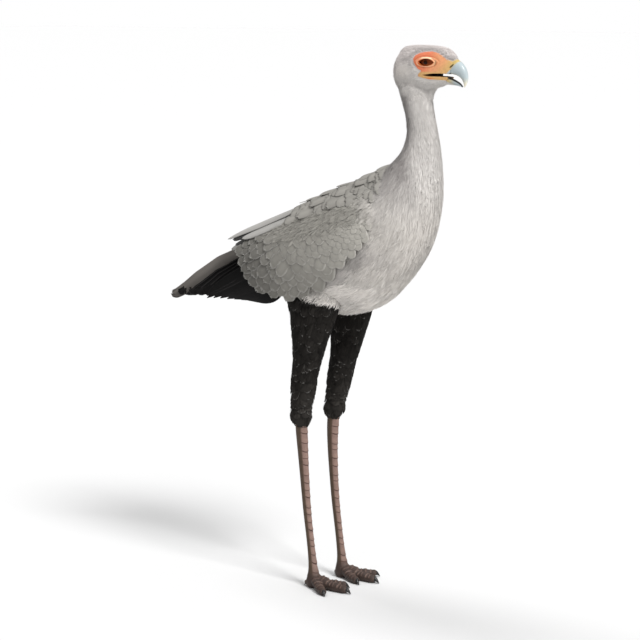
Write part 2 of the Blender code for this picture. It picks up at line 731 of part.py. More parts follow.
def toe_rings(side, reach_x, reach_y, root, tip, plates):
    """Rings of one toe from the ankle down to the floor and along it, with plates on top and pads below."""
    start = leg_point(side, ANKLE_Z - 0.0115)
    places, rises = [0.0], [0.0]
    for plate in range(1, plates + 1):
        share = 0.12 + 0.80 * plate / plates
        places += [share - 0.015, share + 0.005]
        rises += [SCUTE_RISE * 0.9, 0.0]
    places.append(1.0)
    rises.append(-0.30 * tip)
    part = np.array(places)
    radius = root + (tip - root) * part
    drop = np.clip(1 - part * 1.7, 0, 1) ** 1.25
    level = radius * 0.94 + (start[2] - root * 0.94) * drop
    spine = np.stack([start[0] + reach_x * part, start[1] + side * reach_y * part, level], -1)
    along = np.gradient(spine, axis=0)
    along /= np.linalg.norm(along, axis=1)[:, None]
    turn = np.arange(8) * 2 * math.pi / 8
    rings = []
    for point, ahead, thick, rise, share in zip(spine, along, radius, rises, part):
        across = np.cross([0, 0, 1.0], ahead)
        across /= np.linalg.norm(across)
        up = np.cross(ahead, across)
        bulge = 1 + 0.07 * math.cos(share * 6 * math.pi)
        size = thick * bulge + rise * np.clip(np.cos(turn) * 2 + 0.4, 0 if rise > 0 else 1, 1)
        ring = point + np.outer(size * np.cos(turn), up) + np.outer(size * np.sin(turn), across)
        ring[:, 2] = np.maximum(ring[:, 2], 0.0)
        rings.append(ring)
    return np.array(rings), spine[-1], along[-1]


def claw_rings(start, ahead, radius, length):
    """Rings of a short blunt claw that bends down to the floor."""
    ahead = np.array([ahead[0], ahead[1], 0.0]) / math.hypot(ahead[0], ahead[1])
    across = np.cross([0, 0, 1.0], ahead)
    turn = np.arange(6) * 2 * math.pi / 6
    rings = []
    for t in (0.0, 0.4, 0.75, 1.0):
        thick = radius * (0.62 * (1 - t) ** 0.7 + 0.10)
        middle = start + ahead * (0.0012 + t * length)
        middle[2] = max(thick + 0.0002, radius * (1.05 - 0.85 * t**1.6))
        rings.append(middle + thick * (np.outer(np.cos(turn), [0, 0, 1.15]) + np.outer(np.sin(turn), across)))
    rings = np.array(rings)
    rings[:, :, 2] = np.maximum(rings[:, :, 2], 0.0)
    return rings


def make_foot(side, word, skin, horn):
    """The ankle's knuckle with four toes, and a claw on each as a part of its own."""
    rows = (
        (0.0, 0.0110, 0.0120),
        (0.0040, 0.0135, 0.0145),
        (0.0130, 0.0145, 0.0155),
        (0.0240, 0.0125, 0.0140),
        (ANKLE_Z - GAP, 0.0100, 0.0118),
    )
    knuckle = loft(f"foot_{word}", limb_rings(side, [(z, w, d) for z, w, d in rows]), skin)
    toes = []
    for toe, reach_x, reach_y, root, tip, plates, claw in TOES:
        rings, end, ahead = toe_rings(side, reach_x, reach_y, root, tip, plates)
        toes.append(loft("toe", rings))
        loft(f"claw_{toe}_{word}", claw_rings(end, ahead, tip, claw), horn)
    joined(knuckle, toes)
    top = loft("ankle_cut", limb_rings(side, ((ANKLE_Z - GAP, 0.04, 0.04), (ANKLE_Z + 0.05, 0.04, 0.04))))
    return cut(knuckle, [top])


def main():
    """Builds every part, then puts the origin under the middle of the box."""
    clear_scene()
    pale = material("pale_feathers", (0.64, 0.62, 0.59), 0.9)
    crown = material("head_feathers", (0.60, 0.58, 0.56), 0.85)
    grey = material("grey_feathers", (0.27, 0.26, 0.24), 0.85)
    black = material("black_feathers", (0.02, 0.02, 0.02), 0.8)
    skin = material("leg_skin", (0.29, 0.18, 0.14), 0.6)
    horn = material("claw", (0.05, 0.04, 0.04), 0.45)
    bill = material("bill", (0.55, 0.62, 0.65), 0.35)
    eye = material("eye", (0.08, 0.02, 0.01), 0.1)
    make_trunk(pale)
    make_neck(pale)
    make_head(crown)
    make_bill(bill)
    make_eyes(eye)
    for side, word in ((-1, "right"), (1, "left")):
        make_wing(side, f"wing_{word}", grey)
        make_thigh(side, f"thigh_{word}", black)
        make_tarsus(side, f"tarsus_{word}", skin)
        make_foot(side, word, skin, horn)
    make_tail(black)
    for obj in collection("secretary_bird").objects:
        obj.location.x = ORIGIN_X


main()
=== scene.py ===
"""The looks of a secretary bird: one skin, its feathers, eyes, bill and claws, with floor, light and camera.

Metres, +X towards the bill, +Y to the bird's left, +Z up. The tables give X from a line between the
ankles, as the solids' source does, and every mesh is moved by SHIFT when it is made.
"""

import json
import logging
import math
from collections.abc import Callable
from dataclasses import dataclass, field
from enum import Enum
from functools import cache

import bpy
import numpy as np
from mathutils import Matrix, Vector

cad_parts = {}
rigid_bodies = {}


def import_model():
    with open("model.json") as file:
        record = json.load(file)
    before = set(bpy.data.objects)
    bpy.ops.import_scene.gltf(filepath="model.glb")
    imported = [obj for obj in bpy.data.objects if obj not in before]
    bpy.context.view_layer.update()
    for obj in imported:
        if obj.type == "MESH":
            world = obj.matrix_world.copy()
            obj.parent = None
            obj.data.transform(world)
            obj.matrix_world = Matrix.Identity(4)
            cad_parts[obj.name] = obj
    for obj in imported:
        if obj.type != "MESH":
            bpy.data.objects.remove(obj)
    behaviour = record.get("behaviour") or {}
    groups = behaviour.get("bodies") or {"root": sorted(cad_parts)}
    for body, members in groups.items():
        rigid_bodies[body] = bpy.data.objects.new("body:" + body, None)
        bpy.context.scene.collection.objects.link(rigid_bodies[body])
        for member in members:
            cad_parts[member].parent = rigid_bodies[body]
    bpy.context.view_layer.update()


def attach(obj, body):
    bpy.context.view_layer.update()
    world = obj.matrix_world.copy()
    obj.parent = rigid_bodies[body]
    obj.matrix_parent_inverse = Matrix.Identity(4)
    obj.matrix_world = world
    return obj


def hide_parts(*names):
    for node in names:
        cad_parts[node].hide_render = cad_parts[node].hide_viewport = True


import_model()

Array = np.ndarray
Random = np.random.Generator
Thing = bpy.types.Object
Material = bpy.types.Material
log = logging.getLogger("secretary_bird")

GOLDEN_STEPS = (0.7548776662466927, 0.5698402909980532)  # of the golden-ratio sequence in the plane
BLENDS = 14  # how often the head's rings are averaged
FLOOR_HALF = 60.0  # half the floor's width

SHIFT = np.array([0.0713, 0.0, 0.0])
SIDES = ((-1, "right"), (1, "left"))

# Cross sections: upper point X Z, lower point X Z, half width
TRUNK = (
    (-0.266, 0.696, -0.252, 0.664, 0.016), (-0.215, 0.727, -0.185, 0.634, 0.044),
    (-0.16, 0.755, -0.12, 0.604, 0.07), (-0.105, 0.781, -0.06, 0.585, 0.086),
    (-0.05, 0.806, 0.0, 0.575, 0.095), (0.0, 0.825, 0.055, 0.579, 0.099),
    (0.05, 0.844, 0.11, 0.603, 0.097), (0.092, 0.861, 0.16, 0.649, 0.091),
    (0.124, 0.878, 0.205, 0.712, 0.081), (0.15, 0.901, 0.228, 0.78, 0.066),
    (0.1645, 0.92, 0.238, 0.845, 0.051),
)
NECK = (
    (0.1715, 0.945, 0.237, 0.905, 0.0375), (0.17, 0.971, 0.23, 0.956, 0.03),
    (0.1645, 0.993, 0.2235, 0.985, 0.0288),
)
THROAT = (0.1596, 1.0085, 0.2198, 1.0085, 0.0299)
NAPE = (
    (0.1585, 1.013, 0.22, 1.003, 0.03), (0.15, 1.034, 0.219, 1.022, 0.03),
    (0.1455, 1.056, 0.219, 1.04, 0.0275),
)
PIVOT = (0.2442, 1.01)  # X and Z before the throat, that the head's rings fan out from
PIVOT_END = math.radians(65.7)
FULLER = ((0.0062, 2.8, 0.16), (0.005, 2.27, 0.17), (-0.0012, 2.52, 0.08))  # height, tilt and spread
THROAT_LINE = ((0.2212, 1.0105), (0.2252, 1.0175), (0.2287, 1.0295), (0.2358, 1.0386), (0.2448, 1.0444),
               (0.256, 1.0462))
SKULL = (
    (0.1385, 1.072, 0.139, 1.062, 0.006), (0.1425, 1.092, 0.145, 1.041, 0.02),
    (0.156, 1.11, 0.162, 1.028, 0.029), (0.18, 1.1195, 0.186, 1.026, 0.0325),
    (0.206, 1.1215, 0.208, 1.03, 0.032), (0.231, 1.1205, 0.227, 1.036, 0.0285),
    (0.2575, 1.117, 0.243, 1.041, 0.0225), (0.2745, 1.1078, 0.254, 1.044, 0.0168),
    (0.2835, 1.0945, 0.2607, 1.0455, 0.0125),
)
UPPER_BILL = (
    (0.2765, 1.095, 0.264, 1.068, 0.012), (0.2838, 1.0943, 0.2708, 1.0665, 0.0122),
    (0.2945, 1.087, 0.279, 1.065, 0.0108), (0.302, 1.0775, 0.2864, 1.0622, 0.0088),
    (0.306, 1.0665, 0.292, 1.0585, 0.0066), (0.3065, 1.0565, 0.2962, 1.0525, 0.0046),
    (0.3038, 1.048, 0.2981, 1.0468, 0.0028), (0.2998, 1.0415, 0.2988, 1.0413, 0.0008),
)
LOWER_BILL = (
    (0.2672, 1.0589, 0.261, 1.0457, 0.0105), (0.2745, 1.0568, 0.269, 1.0452, 0.0088),
    (0.283, 1.053, 0.2795, 1.0448, 0.0068), (0.29, 1.049, 0.288, 1.0437, 0.0045),
    (0.2955, 1.0437, 0.2945, 1.0415, 0.0018),
)
LEG = (  # the middle line of one leg: Z, X, Y outwards
    (0.03, -0.0315, 0.0495), (0.06, -0.035, 0.0492), (0.1, -0.0405, 0.049), (0.16, -0.0485, 0.049),
    (0.22, -0.054, 0.0493), (0.28, -0.058, 0.0505), (0.33, -0.0592, 0.0535), (0.37, -0.0575, 0.058),
    (0.4, -0.052, 0.06), (0.44, -0.0455, 0.0622), (0.48, -0.0365, 0.0635), (0.52, -0.0293, 0.065),
    (0.57, -0.0238, 0.062), (0.6, -0.0235, 0.059), (0.64, -0.022, 0.056),
)
THIGH = (  # Z, half width across, half depth fore and aft
    (0.3383, 0.0112, 0.0138), (0.347, 0.0168, 0.0204), (0.359, 0.0203, 0.0255), (0.373, 0.0199, 0.0242),
    (0.389, 0.0208, 0.025), (0.425, 0.0235, 0.0285), (0.462, 0.0252, 0.03), (0.5, 0.028, 0.0355),
    (0.535, 0.0295, 0.0437), (0.57, 0.03, 0.0548), (0.6, 0.03, 0.0645), (0.64, 0.028, 0.07),
)
TARSUS = (
    (0.034, 0.01, 0.0115), (0.05, 0.008, 0.0098), (0.09, 0.007, 0.0086), (0.15, 0.0073, 0.009),
    (0.22, 0.0082, 0.0101), (0.28, 0.0094, 0.0118), (0.32, 0.0104, 0.0134), (0.348, 0.0108, 0.0138),
)
KNUCKLE = (
    (0.0, 0.011, 0.012), (0.004, 0.0135, 0.0145), (0.013, 0.0145, 0.0155), (0.024, 0.0125, 0.014),
    (0.034, 0.01, 0.0116), (0.044, 0.0085, 0.01),
)
# Each toe: name, tip X from the leg, tip Y outwards from the leg, root radius, tip radius, plates, claw
TOES = (
    ("middle", 0.086, 0.0, 0.0108, 0.0086, 9, 0.012),
    ("outer", 0.058, 0.042, 0.0098, 0.008, 7, 0.01),
    ("inner", 0.061, -0.03, 0.0098, 0.008, 7, 0.01),
    ("hind", -0.016, 0.002, 0.0088, 0.0068, 2, 0.007),
)
ANKLE_Z = 0.034
TOE_ROOT_Z = ANKLE_Z - 0.0115
SCUTES_Z = (0.034, 0.338)
SCUTES = 18

# The slanted envelope that the folded wings lie on: XI runs back and down from WITHERS, ETA across and
# up, and ARC is the distance round from the back's ridge
WITHERS = (0.14, 0.79)
TRUNK_PITCH = math.radians(23.0)
ARC_RADIUS = 0.113
ENVELOPE = (  # XI, half width, half height, ETA of the middle
    (-0.06, 0.06, 0.1, -0.012), (-0.02, 0.08, 0.112, -0.021), (0.03, 0.098, 0.117, -0.027),
    (0.1, 0.108, 0.121, -0.029), (0.2, 0.109, 0.123, -0.03), (0.3, 0.099, 0.114, -0.021),
    (0.4, 0.078, 0.08, 0.01), (0.5, 0.054, 0.052, 0.022), (0.64, 0.03, 0.034, 0.022),
)
ARM_OUTLINE = (  # the folded arm under the feathers: XI, upper and lower PHI in degrees
    (-0.004, 72, 84), (0.008, 56, 90), (0.03, 39, 98), (0.06, 25, 105), (0.09, 15, 112), (0.13, 6, 118),
    (0.17, 3, 123), (0.215, 3, 122), (0.25, 3, 112), (0.28, 3, 96), (0.31, 3, 78), (0.34, 3, 56),
    (0.37, 3, 34), (0.388, 3, 16),
)

# The face, in X and Z, the same on both sides
BARE_FACE = (
    (0.1974, 1.0956), (0.201, 1.1023), (0.21, 1.1068), (0.2208, 1.1092), (0.237, 1.11),
    (0.2496, 1.107), (0.26, 1.101), (0.2668, 1.0955), (0.277, 1.0915), (0.285, 1.096),
    (0.3, 1.09), (0.3, 1.04), (0.2814, 1.0505), (0.2707, 1.053), (0.2582, 1.0548),
    (0.239, 1.0558), (0.2299, 1.0566), (0.2192, 1.0588), (0.2101, 1.0617), (0.2108, 1.0662),
    (0.2183, 1.0728), (0.211, 1.0759), (0.2055, 1.0817), (0.2, 1.089),
)
MOUTH_CUT = (
    (0.2187, 1.0648), (0.2282, 1.0664), (0.2382, 1.0676), (0.2525, 1.0679), (0.29, 1.0672),
    (0.29, 1.056), (0.2673, 1.06), (0.2602, 1.0616), (0.2368, 1.0616), (0.2247, 1.0624),
)
MOUTH_FRONT = ((0.246, 1.0672), (0.275, 1.0663), (0.29, 1.065), (0.29, 1.055), (0.2673, 1.0604),
               (0.246, 1.062))
BILL_LINE = ((0.2656, 1.0669), (0.289, 1.0917))  # where the yellow skin ends on the horn
EYE = (0.2269, 0.0172, 1.0889)
EYE_RADII = (0.0175, 0.0125, 0.0108)
LID_OPENING = (0.016, 0.0071)
NOSTRIL = (0.2768, 0.011, 1.0826)
NOSTRIL_RADII = (0.0056, 0.0013, 0.005)
NOSTRIL_SLOPE = math.radians(41)


class Shade(Enum):
    """Colours of the bird, as 8-bit screen values; a few also serve as painted shade and painted highlights.
    """

    CROWN = (212, 205, 202)
    NECK = (213, 209, 205)
    BREAST = (207, 202, 196)
    BELLY = (236, 231, 225)
    # dark grey: painted shade along the wing's front edge, and darker marks on the breast and head
    DARK_GREY = (150, 146, 144)
    MANTLE = (151, 148, 142)
    COVERT = (156, 153, 146)
    TERTIAL = (178, 176, 172)
    SOOT = (26, 25, 25)
    TAIL_TOP = (122, 117, 112)
    THIGH = (34, 32, 30)
    ORANGE = (226, 127, 92)
    PEACH = (229, 160, 115)
    # pale cream: a painted highlight on the upper lid's fold, and a pale line under the eye
    LID = (255, 224, 184)
    YELLOW = (216, 171, 112)
    OLIVE = (206, 180, 114)
    # deep orange of a spot by the gape; darkened, it gives painted shade in and round the eye's opening
    EMBER = (228, 112, 40)
    HORN_BLUE = (182, 194, 197)
    HORN_CREAM = (232, 226, 204)
    HORN_DARK = (38, 36, 36)
    # near black: painted shade inside the mouth and the nostrils
    MOUTH = (14, 9, 8)
    SHIN = (138, 114, 104)
    SHIN_SIDE = (84, 68, 54)
    TOE = (70, 58, 53)
    # painted highlight on the raised ends of the toes' scutes
    PLATE_HIGHLIGHT = (150, 126, 114)
    PLATE_LINE = (64, 40, 36)

    @property
    def linear(self) -> Array:
        """The colour in linear light."""
        value = np.array(self.value) / 255.0
        return np.where(value <= 0.04045, value / 12.92, ((value + 0.055) / 1.055) ** 2.4)


class Outline(Enum):
    """Half width of a feather along its length, as pairs of share of length and share of width."""

    BLADE = ((0.0, 0.5), (0.3, 1.0), (0.7, 0.75), (1.0, 0.08))
    LEAF = ((0.0, 0.45), (0.35, 1.0), (0.65, 0.9), (0.85, 0.6), (1.0, 0.12))
    ROUND = ((0.0, 0.65), (0.45, 1.0), (0.72, 1.0), (0.85, 0.88), (0.94, 0.62), (0.98, 0.38), (1.0, 0.14))
    PLATE = ((0.0, 0.7), (0.3, 0.98), (0.7, 1.0), (0.9, 0.92), (0.97, 0.78), (1.0, 0.55))
    PLANK = ((0.0, 0.55), (0.15, 0.85), (0.5, 1.0), (0.82, 0.96), (0.94, 0.72), (1.0, 0.22))
    QUILL = ((0.0, 0.5), (0.2, 0.85), (0.55, 1.0), (0.82, 0.85), (0.94, 0.5), (1.0, 0.1))
    TAIL = ((0.0, 0.55), (0.2, 0.85), (0.6, 1.0), (0.84, 1.0), (0.93, 0.82), (0.98, 0.5), (1.0, 0.2))

    def half_width(self, along: Array) -> Array:
        """The share of the half width at shares of the length."""
        places, widths = zip(*self.value)
        return np.interp(along, places, widths)


# ---- numbers


def smooth_rows(rows: tuple | Array, per_span: int) -> Array:
    """Catmull-Rom curve through the rows of a table.

    Each span is the cubic that passes through its two rows with slopes of half the chord between the
    rows on either side.

    Args:
        rows: the table.
        per_span: new rows to each span.

    Returns:
        The denser table.
    """
    points = np.asarray(rows, float)
    ends = np.vstack([2 * points[0] - points[1], points, 2 * points[-1] - points[-2]])
    place = np.linspace(0, len(points) - 1, (len(points) - 1) * per_span + 1)
    span = np.minimum(place.astype(int), len(points) - 2)
    t = (place - span)[:, None]
    a, b, c, d = (ends[span + k] for k in range(4))
    return 0.5 * (2 * b + (c - a) * t + (2 * a - 5 * b + 4 * c - d) * t**2 + (3 * b - a - 3 * c + d) * t**3)


def looked_up(table: tuple, place: Array, smooth: int = 8) -> list[Array]:
    """The table's other columns at values of its first, read from its smooth curve.

    Args:
        table: rows whose first column rises.
        place: values of the first column.
        smooth: rows to each span before the reading.

    Returns:
        One array for each other column.
    """
    rows = smooth_rows(table, smooth)
    return [np.interp(place, rows[:, 0], rows[:, k]) for k in range(1, rows.shape[1])]


def step(value: Array, low: float, high: float) -> Array:
    """Smooth step: 0 under low, 1 over high, and 3t^2 - 2t^3 between them. Works downwards too."""
    t = np.clip((value - low) / (high - low), 0.0, 1.0)
    return t * t * (3 - 2 * t)


def mixed(a: Array, b: Array, share: Array) -> Array:
    """Colours a and b mixed by the share of b."""
    share = np.asarray(share)[..., None]
    return np.asarray(a) * (1 - share) + np.asarray(b) * share


def circle(count: int) -> Array:
    """Turns of points spread evenly round a circle."""
    return np.arange(count) * 2 * math.pi / count


def spot(x: Array, z: Array, middle: tuple[float, float], spread: tuple[float, float]) -> Array:
    """A soft oval: the exponential of minus the squared distance from its middle, in spreads."""
    return np.exp(-(((x - middle[0]) / spread[0]) ** 2 + ((z - middle[1]) / spread[1]) ** 2))


def painted(colour: Array, *layers: tuple["Shade | Array", Array]) -> Array:
    """Lays shades or colours over a colour one after another, each with its share."""
    for paint, share in layers:
        colour = mixed(colour, paint.linear if isinstance(paint, Shade) else paint, share)
    return colour


def wobble(points: Array, scale: float, seed: int) -> Array:
    """Soft noise between about -1 and 1: the mean of eight sine waves in fixed random directions.

    Args:
        points: places, with three numbers each.
        scale: rough wave length in metres.
        seed: picks the directions.

    Returns:
        One value for each place.
    """
    draw = np.random.default_rng(seed)
    waves = draw.normal(size=(3, 8))
    waves *= draw.uniform(0.6, 1.8, 8) * 2 * math.pi / scale / np.linalg.norm(waves, axis=0)
    return np.sin(points @ waves + draw.uniform(0, 2 * math.pi, 8)).mean(-1) * 2.2


def unit(vectors: Array) -> Array:
    """Vectors scaled to a length of one."""
    return vectors / np.maximum(np.linalg.norm(vectors, axis=-1, keepdims=True), 1e-12)


def inside(outline: tuple, x: Array, z: Array) -> Array:
    """Signed distance to a closed outline in the XZ plane, positive inside it.

    The distance is the least one to any edge, and a ray towards +X that crosses the outline an odd
    number of times starts inside.

    Args:
        outline: the corners in order.
        x: X of the places.
        z: Z of the places.

    Returns:
        The distances.
    """
    corners = np.array(outline)
    start, end = corners, np.roll(corners, -1, axis=0)
    place = np.stack([x, z], -1)[..., None, :]
    edge = end - start
    share = np.clip(((place - start) * edge).sum(-1) / (edge**2).sum(-1), 0, 1)
    away = np.linalg.norm(place - start - share[..., None] * edge, axis=-1).min(-1)
    spans = (start[:, 1] > z[..., None]) != (end[:, 1] > z[..., None])
    rise = np.where(edge[:, 1] == 0, 1e-12, edge[:, 1])
    cross = start[:, 0] + (z[..., None] - start[:, 1]) * edge[:, 0] / rise
    odd = (spans & (cross > x[..., None])).sum(-1) % 2
    return np.where(odd == 1, away, -away)


# ---- rings and surfaces


def sections(rows: tuple | Array, around: int, inset: float | Array = 0.0) -> Array:
    """Elliptic rings, each through its upper and lower points and square to the middle plane.

    A ring's point is its middle, plus the cosine of its turn times half the way from the lower to the
    upper point, plus the sine times the half width along Y.

    Args:
        rows: upper point X Z, lower point X Z and half width.
        around: points in a ring.
        inset: how much smaller each radius is.

    Returns:
        Points as rings by turns by three.
    """
    rows = np.asarray(rows, float)
    turn = circle(around)
    flat = np.zeros(len(rows))
    top = np.stack([rows[:, 0], flat, rows[:, 1]], -1)
    low = np.stack([rows[:, 2], flat, rows[:, 3]], -1)
    rise = (top - low) / 2
    rise *= (1 - inset / np.linalg.norm(rise, axis=1))[:, None]
    side = np.stack([flat, rows[:, 4] - inset, flat], -1)
    middle = (top + low) / 2
    return middle[:, None] + np.cos(turn)[:, None] * rise[:, None] + np.sin(turn)[:, None] * side[:, None]


def loft_width(rows: Array, x: Array, z: Array) -> Array:
    """Half width of a loft over places of the XZ plane, and 0 outside it.

    The place lies between the lines of two rows. Its share between them gives an ellipse, and its share
    of that ellipse's height gives the width.

    Args:
        rows: the loft's smooth cross sections.
        x: X of the places.
        z: Z of the places.

    Returns:
        The half widths.
    """
    low, rise = rows[:, 2:4], rows[:, 0:2] - rows[:, 2:4]
    place = np.stack([x, z], -1)
    away = place[..., None, :] - low
    off = (away[..., 0] * rise[:, 1] - away[..., 1] * rise[:, 0]) / np.linalg.norm(rise, axis=1)
    ahead = (off > 0).sum(-1)
    i = np.clip(ahead - 1, 0, len(rows) - 2)
    near, far = (np.take_along_axis(off, (i + k)[..., None], -1) for k in (0, 1))
    share = near / (near - far)
    row = rows[i] * (1 - share) + rows[i + 1] * share
    rise = row[..., 0:2] - row[..., 2:4]
    height = 2 * ((place - row[..., 2:4]) * rise).sum(-1) / (rise**2).sum(-1) - 1
    width = row[..., 4] * np.sqrt(np.clip(1 - height**2, 0, 1))
    return np.where((ahead > 0) & (ahead < len(rows)), width, 0.0)


def body_rings(per_span: int, fan: int, around: int) -> Array:
    """Rings of trunk, neck and head in one grid, from the rump to the cere.

    Up to the throat they are the cross sections. Over it each ring lies in a half plane from the pivot:
    its points are at the middle of the half plane's stretch inside the head plus the cosine of a turn
    times half that stretch, and out to the wider of skull and nape. The head's rings are then averaged
    with their neighbours several times, which fills the crease between skull and nape.

    Args:
        per_span: rings to each span of the tables.
        fan: rings of the head.
        around: points in a ring.

    Returns:
        Points as rings by turns by three.
    """
    lower = sections(smooth_rows((*TRUNK, *NECK, THROAT), per_span), around)
    skull, nape = smooth_rows(SKULL, 10), smooth_rows((*NECK[1:], *NAPE), 10)
    tilt = np.linspace(math.pi, PIVOT_END, fan + 1)[1:, None]
    reach = np.linspace(0.004, 0.165, 600)
    place = PIVOT[0] + np.cos(tilt) * reach, PIVOT[1] + np.sin(tilt) * reach
    hit = np.maximum(loft_width(skull, *place), loft_width(nape, *place)) > 0
    first, last = reach[hit.argmax(1)], reach[len(reach) - 1 - hit[:, ::-1].argmax(1)]
    line = np.array(THROAT_LINE) - PIVOT
    first = np.minimum(first, np.interp(-tilt[:, 0], -np.arctan2(line[:, 1], line[:, 0]), np.hypot(*line.T)))
    for rise, middle, spread in FULLER:
        last += rise * np.exp(-(((tilt[:, 0] - middle) / spread) ** 2))
    turn = circle(around)
    out = ((first + last) / 2)[:, None] + ((last - first) / 2)[:, None] * np.cos(turn)
    x, z = PIVOT[0] + np.cos(tilt) * out, PIVOT[1] + np.sin(tilt) * out
    y = np.maximum(loft_width(skull, x, z), loft_width(nape, x, z))
    y = np.maximum(y, 0.62 * y.max(1, keepdims=True) * np.abs(np.sin(turn))) * np.sign(np.sin(turn))
    grid = np.concatenate([lower, np.stack([x, y, z], -1)])
    start = len(lower) - per_span
    for _ in range(BLENDS):
        part = grid[start:]
        mean = (part[:-2] + part[2:] + np.roll(part, 1, 1)[1:-1] + np.roll(part, -1, 1)[1:-1]) / 4
        grid[start + 1 : -1] += 0.5 * (mean - grid[start + 1 : -1])
    return grid


def limb(side: int, rows: tuple | Array, around: int, inset: float = 0.0, per_span: int = 1) -> Array:
    """Level ellipses round a leg's middle line.

    A point is the middle line's point at the row's height, plus the cosine of its turn times the half
    depth along X, plus the sine times the half width along Y.

    Args:
        side: -1 right, +1 left.
        rows: Z, half width and half depth.
        around: points in a ring.
        inset: how much smaller each radius is.
        per_span: rings to each span of the table.

    Returns:
        Points as rings by turns by three.
    """
    rows = smooth_rows(rows, per_span)
    x, y = looked_up(LEG, rows[:, 0])
    turn = circle(around)
    middle = np.stack([x, side * y, rows[:, 0]], -1)[:, None]
    depth = (rows[:, 2] - inset)[:, None] * np.cos(turn)
    width = (rows[:, 1] - inset)[:, None] * np.sin(turn)
    return middle + np.stack([depth, width, np.zeros_like(depth)], -1)


def slanted(xi: Array, y: Array, eta: Array) -> Array:
    """Points given in the envelope's own frame, which is pitched down towards the tail.

    Args:
        xi: place along the envelope.
        y: place across the bird.
        eta: height square to the envelope's length.

    Returns:
        The points.
    """
    cosine, sine = math.cos(TRUNK_PITCH), math.sin(TRUNK_PITCH)
    x = WITHERS[0] - xi * cosine - eta * sine
    z = WITHERS[1] - xi * sine + eta * cosine
    return np.stack(np.broadcast_arrays(x, y, z), -1)


def envelope(side: int, xi: Array, arc: Array, height: Array | float = 0.0) -> Array:
    """Points over the wing's envelope, an ellipse at each XI.

    The turn round the ellipse is ARC over ARC_RADIUS, from the ridge, and height adds to both radii.

    Args:
        side: -1 right, +1 left.
        xi: place along the envelope.
        arc: distance round from the ridge.
        height: distance out of the envelope.

    Returns:
        The points.
    """
    width, half, middle = looked_up(ENVELOPE, xi)
    turn = arc / ARC_RADIUS
    y = np.maximum((width + height) * np.sin(turn), 0.0006)
    return slanted(xi, side * y, middle + (half + height) * np.cos(turn))


@dataclass
class Surface:
    """A grid of points that feathers are laid on, read between its points.

    Fields:
        grid: points as rows by columns by three.
        closed: whether the columns go all the way round.
        along: the slope from row to row.
        over: the slope from column to column.
        normal: which way the surface faces.
    """

    grid: Array
    closed: bool = True
    along: Array = field(init=False)
    over: Array = field(init=False)
    normal: Array = field(init=False)

    def __post_init__(self) -> None:
        """Works out the slopes by central differences, and the normals as their cross product."""
        self.along = np.gradient(self.grid, axis=0)
        if self.closed:
            self.over = (np.roll(self.grid, -1, 1) - np.roll(self.grid, 1, 1)) / 2
        else:
            self.over = np.gradient(self.grid, axis=1)
        self.normal = unit(np.cross(self.along, self.over))
        outwards = self.grid - self.grid.mean(axis=1, keepdims=True)
        if (self.normal * outwards).sum() < 0:
            self.normal = -self.normal

    def read(self, table: Array, a: Array, b: Array) -> Array:
        """A table of the grid's shape read between its points, linearly both ways.

        Args:
            table: values on the grid.
            a: rows, with fractions.
            b: columns, with fractions.

        Returns:
            The values.
        """
        a = np.clip(a, 0, table.shape[0] - 1.001)
        count = table.shape[1]
        if not self.closed:
            b = np.clip(b, 0, count - 1.001)
        i, j = np.floor(a).astype(int), np.floor(b).astype(int)
        s, t = (a - i)[..., None], (b - j)[..., None]
        j, k = j % count, (j + 1) % count
        near = table[i, j] * (1 - t) + table[i, k] * t
        far = table[i + 1, j] * (1 - t) + table[i + 1, k] * t
        return near * (1 - s) + far * s

    def at(self, a: Array, b: Array, height: Array | float = 0.0) -> Array:
        """Points at a height over the surface."""
        return self.read(self.grid, a, b) + np.asarray(height)[..., None] * self.read(self.normal, a, b)

    def heading(self, a: Array, b: Array, flow: Array) -> Array:
        """The turn from the surface's rows towards its columns that follows vectors of space."""
        along, over = unit(self.read(self.along, a, b)), unit(self.read(self.over, a, b))
        return np.arctan2((flow * over).sum(-1), (flow * along).sum(-1))

    def spread(self, spacing: float, density: Array, seed: float = 0.5) -> tuple[Array, Array]:
        """Places spread evenly over the surface.

        The k-th place is the k-th point of a two-dimensional golden-ratio sequence, carried through
        the shares of area of the rows and then of each row's cells.

        Args:
            spacing: distance between neighbours where the density is 1.
            density: values on the grid that thin the places out.
            seed: where the sequence starts.

        Returns:
            Rows and columns of the places.
        """
        area = np.linalg.norm(np.cross(self.along, self.over), axis=-1) * density + 1e-15
        ring = area.sum(1)
        k = np.arange(int(ring.sum() / spacing**2))
        u, v = ((seed + k * part) % 1 for part in GOLDEN_STEPS)
        edges = np.concatenate([[0], np.cumsum(ring)]) / ring.sum()
        a = np.interp(u, edges, np.arange(len(edges)))
        row = np.minimum(a.astype(int), len(ring) - 1)
        shares = np.cumsum(area, axis=1) / ring[:, None]
        flat = (shares + np.arange(len(ring))[:, None]).ravel()
        spot = np.minimum(np.searchsorted(flat, v + row), len(flat) - 1)
        before = np.where(spot % area.shape[1] == 0, row, flat[np.maximum(spot - 1, 0)])
        part = (v + row - before) / np.maximum(flat[spot] - before, 1e-9)
        return a - 0.5, spot % area.shape[1] + np.clip(part, 0, 1) - 0.5


# ---- meshes


def linked(name: str, data: bpy.types.ID) -> Thing:
    """A new object of some data, in the scene."""
    made = bpy.data.objects.new(name, data)
    bpy.context.scene.collection.objects.link(made)
    return made


